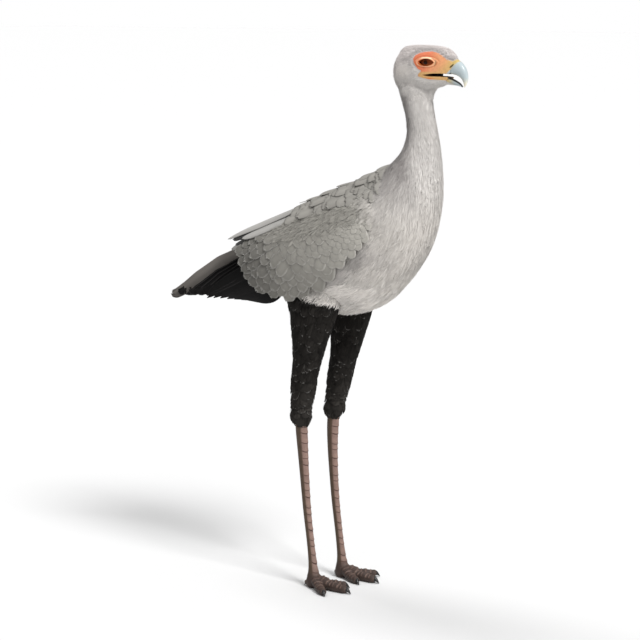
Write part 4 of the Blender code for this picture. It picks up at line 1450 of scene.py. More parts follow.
@dataclass
class Skin:
    """The one skin of the bird, with lids, nostrils, mouth and the scutes of the legs.

    Fields:
        coat: how deep it lies under the trunk's feathers.
        plush: how deep it lies under the head's.
        voxel: size of the cells that join a foot's toes.
    """

    coat: float = 0.0048
    plush: float = 0.0014
    voxel: float = 0.0014

    def body(self) -> Thing:
        """Trunk, neck and head in one, under the coat, and at full size with folds where the face is bare.

        Returns:
            The closed shape.
        """
        surface = Surface(body_rings(per_span=5, fan=150, around=192))
        x, y, z = np.moveaxis(surface.grid, -1, 0)
        bare = step(inside(BARE_FACE, x, z), -0.0012, 0.0006) * (z > 1.03) * step(np.abs(y), 0.003, 0.008)
        ring = lid_ring(x, z)
        upper = step(z, EYE[2] - 0.002, EYE[2] + 0.006)
        fold = 0.001 * np.exp(-(((ring - 1.42) / 0.12) ** 2)) * (0.3 + 0.7 * upper)
        fold -= 0.0008 * np.exp(-(((ring - 1.7) / 0.1) ** 2)) * (0.4 + 0.6 * upper)
        crease = np.exp(-(((x - 0.2455 - 0.25 * (z - 1.086)) / 0.0014) ** 2 + ((z - 1.0875) / 0.006) ** 2))
        pucker = 0.00018 * wobble(surface.grid, 0.004, 9) + 0.0001 * wobble(surface.grid, 0.002, 10)
        under = -np.interp(z, (0.8, 1.0), (self.coat, self.plush))
        change = under * (1 - bare) + bare * (fold - 0.001 * crease + pucker)
        return loft("skin", surface.grid + surface.normal * change[..., None])

    def lids(self, side: int) -> Thing:
        """The rim of both lids: a tube along the almond, thicker above, with its section a circle.

        Args:
            side: -1 right, +1 left.

        Returns:
            The closed tube.
        """
        turn = circle(72)
        x, z = self.almond(turn, 1.09)
        y = self.half_width(EYE[0] + x, EYE[2] + z)
        lift = np.maximum(0, np.sin(turn))
        radius = (0.0014 + 0.001 * lift) * (0.6 + 0.4 * np.abs(np.sin(turn)))
        middle = np.stack([EYE[0] + x, side * (y - 0.0003), EYE[2] + z], -1)
        outward = unit(np.stack([x * LID_OPENING[1] / LID_OPENING[0], np.zeros(72), z * 1.5], -1))
        around = circle(14)
        ring = np.cos(around)[:, None] * outward[:, None] + np.sin(around)[:, None] * np.array([0, side, 0.0])
        return hoop("lids", middle[:, None] + radius[:, None, None] * ring)

    def almond(self, turn: Array, scale: float) -> tuple[Array, Array]:
        """The line between the lids: the cosine of the turn for X, and a flattened sine for Z."""
        length, height = LID_OPENING
        along = np.cos(turn)
        return scale * length * along, scale * height * np.sign(np.sin(turn)) * (1 - along**2) ** 0.85

    def half_width(self, x: Array, z: Array) -> Array:
        """How far the skull's surface is from the middle plane at places of the XZ plane."""
        return loft_width(smooth_rows(SKULL, 10), x, z)

    def cutters(self) -> list[Thing]:
        """What opens the eyes, the nostrils and the mouth.

        Returns:
            Closed shapes.
        """
        made = []
        turn = (np.arange(72) + 0.5) * 2 * math.pi / 72
        for side in (-1, 1):
            rings = []
            for y, scale in ((0.015, 0.8), (0.023, 0.94), (0.029, 1.0), (0.04, 1.12)):
                x, z = self.almond(turn, scale)
                rings.append(np.stack([EYE[0] + x, np.full(72, side * y), EYE[2] + z], -1))
            made.append(loft("eye_opening", np.array(rings)))
            centre = np.array([EYE[0], side * EYE[1], EYE[2]])
            made.append(ball("socket", centre, np.array(EYE_RADII) + 0.0004, fine=48))
            length, width, depth = NOSTRIL_RADII
            place = np.array([NOSTRIL[0], side * NOSTRIL[1], NOSTRIL[2]])
            made.append(ball("nostril", place, (length, depth, width), -NOSTRIL_SLOPE, 24))
            made.append(prism("mouth", MOUTH_CUT, side * 0.005, side * 0.045))
        return [*made, prism("mouth_front", MOUTH_FRONT, -0.04, 0.04)]

    def arm(self, side: int) -> Thing:
        """The folded arm, a slab under the envelope that the wing's feathers cover.

        Args:
            side: -1 right, +1 left.

        Returns:
            The closed slab.
        """
        rows = smooth_rows(ARM_OUTLINE, 3)
        share = np.linspace(0, 1, 22)
        xi = rows[:, 0][:, None]
        top, low = (np.radians(rows[:, k])[:, None] * ARC_RADIUS + d for k, d in ((1, 0.003), (2, -0.003)))
        arcs = top + (low - top) * share
        full = np.minimum(1.0, 4 * np.minimum(share, 1 - share) + 0.5)
        ends = np.minimum(1.0, 0.35 + (xi + 0.004) / 0.04)
        outer = envelope(side, np.broadcast_to(xi, arcs.shape), arcs, -0.0052 - 0.003 * (1 - full))
        inner = envelope(side, np.broadcast_to(xi, arcs.shape), arcs, -0.0105 - 0.006 * full * ends)
        return loft("arm", np.concatenate([outer, inner[:, ::-1]], axis=1))

    def toe(self, side: int, reach: tuple[float, float], root: float, tip: float) -> tuple[Array, Array]:
        """One toe from the ankle down to the floor and along it, as circles flattened where they lie.

        The middle line drops from the ankle with the power 1.25 of what is left of the first 59 % of the
        way, and its radius goes evenly from root to tip.

        Args:
            side: -1 right, +1 left.
            reach: the tip's X and outward Y from the leg.
            root: radius at the ankle.
            tip: radius at the tip.

        Returns:
            The rings, and the middle line.
        """
        x, y = looked_up(LEG, np.array([TOE_ROOT_Z]))
        part = np.linspace(0, 1, 40)
        radius = root + (tip - root) * part
        radius *= 1 + 0.06 * np.cos(part * 6 * math.pi) - 0.35 * step(part, 0.93, 1.0)
        drop = np.clip(1 - part * 1.7, 0, 1) ** 1.25
        level = radius * 0.94 + (TOE_ROOT_Z - root * 0.94) * drop
        spine = np.stack([x + reach[0] * part, side * (y + reach[1] * part), level], -1)
        ahead = unit(np.gradient(spine, axis=0))
        across = unit(np.cross([0, 0, 1.0], ahead))
        up = np.cross(ahead, across)
        turn = circle(24)
        rings = spine[:, None] + radius[:, None, None] * (
            np.cos(turn)[:, None] * up[:, None] + np.sin(turn)[:, None] * across[:, None])
        rings[..., 2] = np.maximum(rings[..., 2], 0.0)
        return rings, spine

    def foot(self, side: int) -> Thing:
        """Shank, ankle and toes grown together in cells, smoothed, with scutes raised on them.

        A scute's height is the cube of the share of the way along it, so that its lower edge stands
        over the next one.

        Args:
            side: -1 right, +1 left.

        Returns:
            The closed shape.
        """
        leg = loft("leg", limb(side, TARSUS, around=40, per_span=12))
        parts = [loft("ankle", limb(side, KNUCKLE, around=32, per_span=6))]
        spines = []
        for _, x, y, root, tip, plates, _ in TOES:
            rings, spine = self.toe(side, (x, y), root, tip)
            parts.append(loft("toe", rings))
            spines.append((spine, plates))
        boolean(leg, parts, "UNION")
        grown = leg.modifiers.new("grown", "REMESH")
        grown.mode = "VOXEL"
        grown.voxel_size = self.voxel
        soft = leg.modifiers.new("soft", "SMOOTH")
        soft.factor, soft.iterations = 0.5, 7
        applied(leg)
        points, normals = co_of(leg), vertices(leg, "normal")
        plate, front, foot = self.scutes(points, side, spines)
        part = plate % 1.0
        rise = 0.0009 * (part**3 - 0.25) * front * (1 + 1.1 * foot)
        points = points + normals * rise[:, None]
        points[:, 2] = np.maximum(points[:, 2], 0.0002)
        leg.data.vertices.foreach_set("co", (points + SHIFT).astype(np.float32).ravel())
        return leg

    def scutes(self, points: Array, side: int, spines: list) -> tuple[Array, Array, Array]:
        """Where the scutes are: their number with the share along each, how far to the front, and the foot.

        Args:
            points: places on the leg.
            side: -1 right, +1 left.
            spines: each toe's middle line and number of plates.

        Returns:
            The number, the front share and the foot share.
        """
        x, y = looked_up(LEG, points[:, 2])
        ahead, out = points[:, 0] - x, points[:, 1] - side * y
        facing = ahead / np.maximum(np.hypot(ahead, out), 1e-6)
        bottom, top = SCUTES_Z
        run = (top - points[:, 2]) / (top - bottom) * SCUTES
        run = run + 0.25 * (1 - facing) + 0.13 * np.sin(run * 1.7) + 0.1 * np.sin(run * 3.1 + 1 + side)
        front = step(facing, 0.3, 0.62)
        foot = step(points[:, 2], 0.034, 0.02)
        plate = run
        nearest = np.full(len(points), 1e9)
        for number, (spine, plates) in enumerate(spines):
            gap = np.linalg.norm(points[:, None] - spine[None], axis=-1)
            place = np.argmin(gap, axis=1)
            near = gap[np.arange(len(points)), place]
            share = place / (len(spine) - 1)
            over = step(points[:, 2] - spine[place, 2], 0.001, 0.005)
            mine = (near < nearest) & (foot > 0.5)
            plate = np.where(mine, 100 * (number + 1) + share * plates, plate)
            front = np.where(mine, over * step(share, 0.1, 0.2), front)
            nearest = np.minimum(nearest, near)
        return plate, front, foot

    def markings(self, skin: Thing) -> None:
        """Stores tint, leg, front and plate on every vertex of the joined skin.

        Args:
            skin: the joined skin.
        """
        points = co_of(skin)
        x, y, z = points.T
        tint = body_tint(points)
        high = step(z, 1.015, 1.035) * step(x, 0.1, 0.12)
        tint = mixed(tint, head_tint(points), high)
        far = inside(BARE_FACE, x, z)
        tint = mixed(tint, face_tint(points), step(far, -0.0006, 0.0006) * (z > 1.0))
        # painted shade: the mouth's inside and the palate are near black
        mouth = (inside(MOUTH_CUT, x, z) > -0.0006) & (np.abs(y) < 0.0115) & (z > 1.0)
        palate = (np.abs(y) < 0.007) & (far > 0.002) & (z > 1.05) & (z < 1.072)
        tint[mouth | palate] = Shade.MOUTH.linear
        # painted shade: the socket's wall round the eyeball is near black
        socket = (np.hypot(np.hypot((x - EYE[0]) / EYE_RADII[0], (z - EYE[2]) / EYE_RADII[2]),
                           (np.abs(y) - EYE[1]) / EYE_RADII[1]) < 1.05) & (z > 1.0)
        tint[socket] = Shade.EMBER.linear * 0.15
        # painted shade in the nostrils
        tint = mixed(tint, Shade.MOUTH.linear, nostril_mark(x, z) * (np.abs(y) > 0.003))
        wing = z - (WITHERS[1] - 0.42 * (WITHERS[0] - x))
        grey = step(wing, -0.14, -0.12) * (z < 0.93) * step(np.abs(y), 0.02, 0.05)
        tint = mixed(tint, Shade.COVERT.linear * 0.8, grey * (z > 0.56) * (x < 0.12) * (x > -0.26))
        tint = mixed(tint, Shade.THIGH.linear, step(z, 0.6, 0.585))
        plate, front, foot = np.zeros((3, len(points)))
        leg = z < 0.345
        for side in (-1, 1):
            mine = leg & (np.sign(y) == side)
            spines = [(self.toe(side, (ahead, out), root, tip)[1], plates)
                      for _, ahead, out, root, tip, plates, _ in TOES]
            plate[mine], front[mine], foot[mine] = self.scutes(points[mine], side, spines)
        tint[leg] = leg_tint(points[leg], front[leg], step(z[leg], 0.045, 0.02))
        # painted highlight on the raised end of each toe scute
        ridge = np.where(leg, step(plate % 1.0, 0.62, 0.95) * front * foot, 0)
        tint = mixed(tint, Shade.PLATE_HIGHLIGHT.linear, 0.6 * ridge)
        set_colour(skin, "tint", tint)
        set_float(skin, "leg", leg.astype(float))
        set_float(skin, "front", np.where(leg, front * (1 - 0.5 * foot), 0))
        set_float(skin, "plate", plate)

    def build(self, material: Material) -> Thing:
        """Joins everything into the skin.

        Args:
            material: what it wears.

        Returns:
            The skin.
        """
        skin = boolean(self.body(), [self.lids(-1), self.lids(1)], "UNION")
        boolean(skin, self.cutters(), "DIFFERENCE")
        parts = []
        for side in (-1, 1):
            thigh = limb(side, THIGH, around=48, inset=0.0035, per_span=6)
            parts += [loft("thigh", thigh), self.arm(side), self.foot(side)]
        boolean(skin, parts, "UNION")
        skin.data.shade_smooth()
        self.markings(skin)
        skin.data.materials.clear()
        skin.data.materials.append(material)
        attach(skin, "root")
        nodes = ["head", "neck", "torso"]
        nodes += [f"{part}_{word}" for part in ("thigh", "tarsus", "foot") for _, word in SIDES]
        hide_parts(*nodes)
        log.info("skin: %d faces", len(skin.data.polygons))
        return skin


@dataclass
class Head:
    """Eyes and the horn of the bill."""

    def eye(self, side: int, word: str) -> None:
        """One eyeball with its own finish.

        Args:
            side: -1 right, +1 left.
            word: the side's name.
        """
        made = ball(f"eyeball_{word}", (EYE[0], side * EYE[1], EYE[2]), EYE_RADII, fine=64)
        wet = EyeFinish(f"eye {word}", 0.22, coat=0.04, specular=0.08, bump=0.02, side=side)
        made.data.materials.append(wet.build())
        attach(made, "root")
        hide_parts(f"eye_{word}")

    def horn(self, name: str, node: str, rows: tuple, material: Material, tint: Callable) -> None:
        """One jaw's horn: a loft through its elliptic cross sections.

        Args:
            name: the piece's name.
            node: the node it stands for.
            rows: its cross sections.
            material: what it wears.
            tint: colours from points.
        """
        made = loft(name, sections(smooth_rows(rows, 12), 48))
        set_colour(made, "tint", tint(co_of(made)))
        made.data.materials.append(material)
        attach(made, "root")
        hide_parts(node)

    @staticmethod
    def upper_tint(points: Array) -> Array:
        """Blue-grey, cream along the cutting edge and at the hook, yellow behind the skin's line.

        Args:
            points: places on the horn.

        Returns:
            Linear colours.
        """
        x, z = points[:, 0], points[:, 2]
        rows = smooth_rows(UPPER_BILL, 12)
        edge = np.hypot(x[:, None] - rows[:, 2], z[:, None] - rows[:, 3]).min(1)
        colour = painted(
            Shade.HORN_BLUE.linear,
            (Shade.HORN_CREAM, step(z, 1.062, 1.046)),
            (Shade.HORN_CREAM, 0.5 * step(edge, 0.005, 0.001)),
        )
        colour = mixed(Shade.OLIVE.linear, colour, step(past_bill_line(x, z), -0.0015, 0.0015))
        # painted shade in the nostril
        colour = painted(colour, (Shade.MOUTH, nostril_mark(x, z)))
        return colour * (1 + 0.04 * wobble(points, 0.01, 21))[..., None]

    @staticmethod
    def lower_tint(points: Array) -> Array:
        """Yellow at the back, grey to the tip, with a black upper rim.

        Args:
            points: places on the horn.

        Returns:
            Linear colours.
        """
        x, z = points[:, 0], points[:, 2]
        rows = smooth_rows(LOWER_BILL, 12)
        edge = z - np.interp(x, rows[:, 0], rows[:, 1])
        return painted(
            Shade.OLIVE.linear * 0.8,
            (Shade.HORN_BLUE.linear * 0.75, step(x, 0.262, 0.284)),
            (Shade.NECK.linear * 0.8, step(z + 0.456 * (x - 0.267) - 1.0515, 0.0008, -0.0012)),
            (Shade.HORN_DARK, step(edge, -0.0024, -0.0012)),
            (Shade.HORN_DARK, 0.6 * step(x, 0.292, 0.296)),
        )

    def build(self) -> None:
        """Both eyes and both jaws."""
        for side, word in SIDES:
            self.eye(side, word)
        horn = GrainFinish("bill horn", 0.32, coat=0.25, bump=0.12, coarse=90.0, fine=700.0, mottle=0.06)
        horn = horn.build()
        self.horn("upper_horn", "bill_upper", UPPER_BILL, horn, self.upper_tint)
        self.horn("lower_horn", "bill_lower", LOWER_BILL, horn, self.lower_tint)
        log.info("head: eyes and bill")


@dataclass
class Plumage:
    """The small feathers of head, neck, trunk and thighs.

    Fields:
        body: the surface of trunk, neck and head.
        tall: heights that the next two fields go with.
        drop: degrees under level that the feathers point backwards.
        scale: length of the feathers as a share of the longest.
        pale: finish of the pale feathers.
        black: finish of the black ones.
    """

    tall: tuple[float, ...] = (0.56, 0.62, 0.7, 0.8, 0.88, 0.93, 0.98, 1.02, 1.05, 1.08, 1.12)
    drop: tuple[float, ...] = (4, 14, 32, 42, 56, 76, 86, 60, 40, 22, 2)
    scale: tuple[float, ...] = (1, 1, 1, 0.95, 0.74, 0.55, 0.42, 0.26, 0.18, 0.17, 0.17)
    body: Surface = field(init=False)
    pale: Material = field(init=False)
    black: Material = field(init=False)

    def __post_init__(self) -> None:
        """Makes the surface and finishes."""
        self.body = Surface(body_rings(per_span=12, fan=150, around=240))
        self.pale = FeatherFinish("pale down", 0.9, sheen=0.08, spread=0.1, root_dark=0.3, barbs=3.0,
                                  bump=0.12).build()
        self.black = FeatherFinish("black down", 0.85, specular=0.08, margin=0.26, margin_start=0.8,
                                   rare=0.74, spread=0.4, root_dark=0.3, barbs=8.0, bump=0.2).build()

    def wing_cover(self, points: Array) -> Array:
        """1 where a folded wing hides the trunk, from the arm's outline on the envelope.

        Args:
            points: places on the trunk.

        Returns:
            1 or 0 for each.
        """
        xi, arc = envelope_place(points)
        turn = np.degrees(arc / ARC_RADIUS)
        rows = np.array(ARM_OUTLINE)
        top, low = (np.interp(xi, rows[:, 0], rows[:, k]) for k in (1, 2))
        return ((turn > top + 5) & (turn < low - 9) & (xi > 0.012) & (xi < 0.375)).astype(float)

    def flow(self, points: Array) -> Array:
        """Which way the feathers lie: back over the crown, down the neck, slanting back over the breast.

        Args:
            points: places on the trunk.

        Returns:
            A vector for each.
        """
        x, y, z = points.T
        drop = np.radians(np.interp(z, self.tall, self.drop))
        drop = np.minimum(drop + step(x, 0.165, 0.148) * step(z, 1.0, 1.02), 1.65)
        out = 3.0 * np.clip(y, -0.06, 0.06) * step(z, 0.95, 0.85)
        return np.stack([-np.cos(drop), out, -np.sin(drop)], -1)

    def zone(self, name: str, slot: str, low: float, high: float, seed: int) -> None:
        """Feathers between two heights: flat locks, and narrower blades over them.

        The locks' tints and heights follow noise that is drawn out along the flow, so that they part
        into strands.

        Args:
            name: the piece's name.
            slot: the slot name given to the coat.
            low: the lower height.
            high: the upper height.
            seed: starts the random numbers.
        """
        x, z = self.body.grid[..., 0], self.body.grid[..., 2]
        scale = np.interp(z, self.tall, self.scale)
        bare = step(inside(BARE_FACE, x, z), 0.0004, -0.0012) * (x < 0.283)
        zone = (1 - self.wing_cover(self.body.grid)) * (z >= low) * (z < high) * np.where(z > 1.0, bare, 1.0)
        draw = np.random.default_rng(seed)
        coat = Coat(name, slot)
        locks = Kind(Outline.LEAF, 6, 4, -0.0042, 0.0, 0.1, 0.06, 0.0006, 0.08)
        blades = Kind(Outline.BLADE, 5, 2, -0.0032, 0.0006, 0.0, 0.0, 0.0014, 0.1)
        for kind, gap, power, long, wide, fan in (
            (locks, 0.0075, 0.85, 0.06, 0.0095, 0.1),
            (blades, 0.0031, 0.6, 0.052, 0.0021, 0.11),
        ):
            a, b = self.body.spread(gap, zone * np.maximum(scale, 0.3) ** (-2 * power))
            points = self.body.at(a, b)
            x, _, z = points.T
            size = np.interp(z, self.tall, self.scale)
            flow = self.flow(points)
            turn = self.body.heading(a, b, flow) + draw.normal(0, fan, len(a))
            turn = turn + 0.16 * wobble(points, 0.09, 31)
            near = np.interp(-inside(BARE_FACE, x, z), (0.0, 0.008), (0.55, 1.0))
            near = np.where(z > 1.03, near * np.interp(x, (0.24, 0.28), (1.0, 0.6)), 1.0)
            length = long * size * near * draw.uniform(0.75, 1.2, len(a))
            width = wide * size**0.75 * draw.uniform(0.8, 1.2, len(a))
            place = points - np.array([0.1, 0, 0.8])
            drawn = place - 0.86 * (place * unit(flow)).sum(-1, keepdims=True) * unit(flow)
            lock = np.clip(wobble(drawn / size[:, None] ** 0.5, 0.02, 32), -1, 1)
            batch = lay(self.body, kind, a, b, turn, length, width, draw, 0.0011 * lock * size)
            tint = mixed(body_tint(points), head_tint(points), step(z, 1.02, 1.035))
            swing = 0.025 + 0.085 * step(z, 0.9, 0.76) + 0.06 * step(np.abs(z - 1.03), 0.03, 0.01)
            tint = tint * (1 + swing * lock + draw.normal(0, 0.025, len(a)))[:, None]
            coat.add(batch, tint)
        coat.build(self.pale)

    def hem(self, x: Array) -> Array:
        """Height of the line where the belly's cream ends on the shank."""
        return 0.622 - 0.22 * (x + 0.03)

    def thigh(self, side: int, word: str) -> None:
        """Black feathers of one shank, with loose blades between.

        Args:
            side: -1 right, +1 left.
            word: the side's name.
        """
        surface = Surface(limb(side, THIGH, around=160, per_span=16))
        draw = np.random.default_rng(13 + side)
        coat = Coat(f"shank_feathers_{word}", "black_feathers")
        tall = surface.grid[..., 2]
        zone = np.ones_like(tall) * (tall > 0.354) * (tall < self.hem(surface.grid[..., 0]) + 0.002)
        for kind, spacing, long, wide, fan in (
            (Kind(Outline.ROUND, 8, 7, -0.004, 0.0004, 0.08, 0.04, 0.0006, 0.05), 0.011, 0.044, 0.0235, 0.2),
            (Kind(Outline.BLADE, 5, 2, -0.0022, 0.0004, 0.0, 0.0, 0.0012, 0.14), 0.0062, 0.026, 0.0016, 0.16),
        ):
            a, b = surface.spread(spacing, zone)
            x, _, z = surface.at(a, b).T
            turn = math.pi + draw.normal(0, fan, len(a))
            scale = np.interp(z, (0.34, 0.4, 0.5), (0.55, 0.8, 1.0))
            length = long * scale * draw.uniform(0.8, 1.15, len(a))
            before = x - looked_up(LEG, z)[0]
            length = length * (1 + 1.2 * step(z, 0.385, 0.36) * step(before, 0.008, 0.016))
            shade = Shade.THIGH.linear * draw.uniform(0.7, 1.3, (len(a), 1))
            shade = shade * (1 + 0.9 * step(z, 0.5, 0.38))[:, None]
            batch = lay(surface, kind, a, b, turn, length, wide * scale, draw)
            if kind.cols == 2:
                batch.lots *= 0.6
            coat.add(batch, shade)
        coat.build(self.black)

    def fringe(self, side: int, word: str) -> None:
        """Long blades where the belly hangs over one shank: cream ones, and black ones that stand out.

        Args:
            side: -1 right, +1 left.
            word: the side's name.
        """
        draw = np.random.default_rng(15 + side)
        leg = Surface(limb(side, THIGH, around=160, per_span=16))
        x, y, z = np.moveaxis(self.body.grid, -1, 0)
        near = np.exp(-(((x - 0.004) / 0.05) ** 2)) * (y * side > 0.012) * (z < 0.61)
        over = leg.grid[..., 2] - self.hem(leg.grid[..., 0])
        coat = Coat(f"belly_fringe_{word}", "pale_feathers")
        kind = Kind(Outline.BLADE, 6, 2, -0.003, 0.0008, 0.0, 0.0, 0.004, 0.16)
        for surface, zone, spacing, shade, long, droop in (
            (self.body, near, 0.0024, Shade.BELLY, 0.04, 0.6),
            (leg, (over > 0.002) * 1.0, 0.0014, Shade.BELLY, 0.017, 0.95),
            (leg, np.exp(-((over / 0.007) ** 2)), 0.0028, Shade.THIGH, 0.022, 0.9),
        ):
            a, b = surface.spread(spacing, zone, 0.3)
            points = surface.at(a, b)
            heading = np.stack([-np.cos(droop) + 0 * a, 0 * a, -np.sin(droop) + 0 * a], -1)
            turn = surface.heading(a, b, heading) + draw.normal(0, 0.22, len(a))
            length = long * draw.uniform(0.55, 1.2, len(a)) * (1 + 0.25 * wobble(points, 0.02, 33))
            tint = shade.linear * draw.uniform(0.6, 1.04, (len(a), 1))
            coat.add(lay(surface, kind, a, b, turn, length, 0.0019, draw), tint)
        coat.build(self.pale)

    def build(self) -> None:
        """All of them."""
        self.zone("belly_feathers", "pale_feathers", 0.0, 0.7, 11)
        self.zone("breast_feathers", "pale_feathers", 0.7, 0.87, 12)
        self.zone("neck_feathers", "pale_feathers", 0.87, 1.025, 13)
        self.zone("head_plush", "head_feathers", 1.025, 1.2, 14)
        for side, word in SIDES:
            self.thigh(side, word)
            self.fringe(side, word)


@dataclass
class Wing:
    """One folded wing: coverts in rows that spread from the shoulder, scapulars, tertials and remiges.

    Fields:
        side: -1 right, +1 left.
        word: the side's name.
        middle: XI and ARC of the point that the coverts spread from.
        arcs: radius of the first arc of coverts, and where they end.
        loose_from: radius from which the coverts are long and loose.
        xi_step: distance between the grid's rows.
        arc_step: distance between its columns.
        xi_start: XI of its first row.
        surface: the envelope's grid.
    """

    side: int
    word: str
    middle: tuple[float, float] = (0.0, 0.05)
    arcs: tuple[float, float] = (0.09, 0.44)
    loose_from: float = 0.272
    xi_step: float = 0.0025
    arc_step: float = 0.0025
    xi_start: float = -0.08
    surface: Surface = field(init=False)

    def __post_init__(self) -> None:
        """Makes the envelope's grid."""
        xi = np.arange(self.xi_start, 0.64, self.xi_step)
        arc = np.arange(0, 0.35, self.arc_step)
        grid = envelope(self.side, *np.meshgrid(xi, arc, indexing="ij"))
        self.surface = Surface(grid, closed=False)

    def lay_on(self, kind: Kind, xi: Array, arc: Array, angle: Array, length: Array, width: Array,
               draw: Random, lift: Array | float = 0.0) -> Batch:
        """Lays feathers whose tips are at XI and ARC, heading at an angle from XI towards ARC."""
        root_xi, root_arc = xi - length * np.cos(angle), arc - length * np.sin(angle)
        a, b = (root_xi - self.xi_start) / self.xi_step, np.maximum(root_arc, 0.002) / self.arc_step
        return lay(self.surface, kind, a, b, angle, length, width, draw, lift)

    def row(self, coat: Coat, kind: Kind, tips: Array, angle: Array, gap: Array, reach: float,
            draw: Random, tint: Array, lift: Array | float = 0.0) -> None:
        """Adds feathers with tips at XI and ARC, as wide as 1.4 gaps and as long as reach gaps.

        Args:
            coat: what they go to.
            kind: what they are like.
            tips: XI and ARC of each.
            angle: heading of each.
            gap: the distance between neighbours.
            reach: the length in gaps.
            draw: random numbers.
            tint: their colours.
            lift: extra height.
        """
        count = len(tips)
        length = gap * reach * draw.uniform(0.92, 1.08, count)
        width = gap * 1.4 * draw.uniform(0.94, 1.06, count)
        coat.add(self.lay_on(kind, tips[:, 0], tips[:, 1], angle, length, width, draw, lift), tint)

    def cover_tint(self, tips: Array, draw: Random) -> Array:
        """Grey of the coverts, lighter at the wrist, darker low down and behind, with painted shade along the
        crease.

        Args:
            tips: XI and ARC of each feather's tip.
            draw: random numbers.

        Returns:
            A colour for each feather.
        """
        xi, arc = tips.T
        grey = Shade.COVERT.linear
        colour = painted(
            grey,
            (grey * 1.3, step(xi, 0.14, 0.02)),
            (grey * 0.74, step(xi + arc, 0.32, 0.46)),
            (grey * 0.43, step(xi, 0.24, 0.36)),
        )
        # painted shade along the crease over the coverts
        crease_shade = step(arc - np.interp(xi, *zip(*CREASE)), 0.016, 0.004) * step(xi, 0.29, 0.24)
        colour = colour * (1 - 0.32 * crease_shade)[:, None]
        soft = wobble(envelope(self.side, xi, arc), 0.06, 41)
        return colour * (1 + 0.05 * soft)[:, None] * draw.uniform(0.95, 1.05, (len(xi), 1))

    def coverts(self) -> None:
        """Rows of coverts on arcs round the middle, wider and longer the further out they are.

        Near the wrist they are flat scales. Behind and below they are long, loose and ragged.
        """
        draw = np.random.default_rng(40 + self.side)
        coat = Coat(f"coverts_{self.word}", "grey_feathers", atlas=True)
        flat = Kind(Outline.ROUND, 9, 7, -0.0014, 0.0003, 0.02, 0.01, 0.0001, 0.02, 0.0002)
        loose = Kind(Outline.ROUND, 10, 7, -0.0046, 0.0018, 0.04, 0.06, 0.0016, 0.03, 0.0004)
        (radius, end), number = self.arcs, 0
        while radius < end:
            far = radius > self.loose_from
            gap = min(0.0092 + 0.115 * max(radius - 0.115, 0), 0.0195)
            fine = np.linspace(-0.25, 1.5, 400)
            wide = gap * (1 + 0.3 * step(fine, 0.62, 0.85) * float(radius > 0.22))
            passed = np.cumsum(radius * (fine[1] - fine[0]) / wide)
            turn = np.interp(np.arange(0.5 * (number % 2), passed[-1], 1.0), passed, fine)
            turn = turn + draw.normal(0, 0.1, len(turn)) * gap / radius
            out = radius + gap * draw.normal(0, 0.11, len(turn))
            tips = np.stack([self.middle[0] + out * np.cos(turn), self.middle[1] + out * np.sin(turn)], -1)
            keep = inside(COVERT_ZONE, tips[:, 0], tips[:, 1]) > 0
            tips, turn = tips[keep], turn[keep]
            if len(tips):
                angle = turn + draw.normal(0, 0.05, len(tips)) + 0.1 * far
                each = np.interp(turn, fine, wide)
                lift = draw.uniform(-1, 1, len(tips)) * (0.001 if far else 0.0002)
                self.row(coat, loose if far else flat, tips, angle, each, 3.0 if far else 2.3, draw,
                         self.cover_tint(tips, draw), lift)
            radius += gap * (1.15 if far else 0.86)
            number += 1
        coat.build(GREY_VANE.build())
        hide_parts(f"wing_{self.word}")

    def scapulars(self) -> None:
        """Large smooth plates of the mantle, with ragged ends that stand off and dark sheets under them as
        painted shadow.
        """
        draw = np.random.default_rng(50 + self.side)
        coat = Coat(f"scapulars_{self.word}", "grey_feathers", atlas=True)
        plate = Kind(Outline.PLATE, 9, 9, -0.004, 0.0012, 0.03, 0.05, 0.0012, 0.02, 0.0005)
        slit = Kind(Outline.PLATE, 9, 7, -0.004, 0.0004, 0.03, 0.1, 0.0, 0.02, 0.0003)
        for number, tip in enumerate(np.arange(-0.045, 0.345, 0.016)):
            edge = float(np.interp(tip, *zip(*SCAPULAR_EDGE)))
            arc = np.arange(0.008 + 0.0095 * (number % 2), edge, 0.019) if tip < 0.215 else np.zeros(0)
            arc = arc + draw.normal(0, 0.0016, len(arc))
            tips = np.stack([tip + draw.uniform(-0.01, 0.01, len(arc)), arc], -1)
            angle = 0.1 + draw.normal(0, 0.07, len(arc)) + 0.25 * step(tips[:, 0], 0.02, -0.05)
            tint = Shade.MANTLE.linear * draw.uniform(0.93, 1.07, (len(arc), 1))
            raised = draw.uniform(0, 1, len(arc)) > 0.74
            lift = 0.003 * raised + 0.001 * step(arc, edge - 0.02, edge)
            if len(arc):
                self.row(coat, plate, tips, angle, np.full(len(arc), 0.019), 2.8, draw, tint, lift)
            # dark sheets under the raised ends: painted shadow in the slits under them
            if raised.any():
                under = tips[raised] + np.array([0.0002, 0.0024])
                slit_shade = np.tile(Shade.SOOT.linear, (int(raised.sum()), 1))
                gap = np.full(len(under), 0.0175)
                self.row(coat, slit, under, angle[raised], gap, 1.4, draw, slit_shade, 0.0012)
        coat.build(LIGHT_VANE.build())

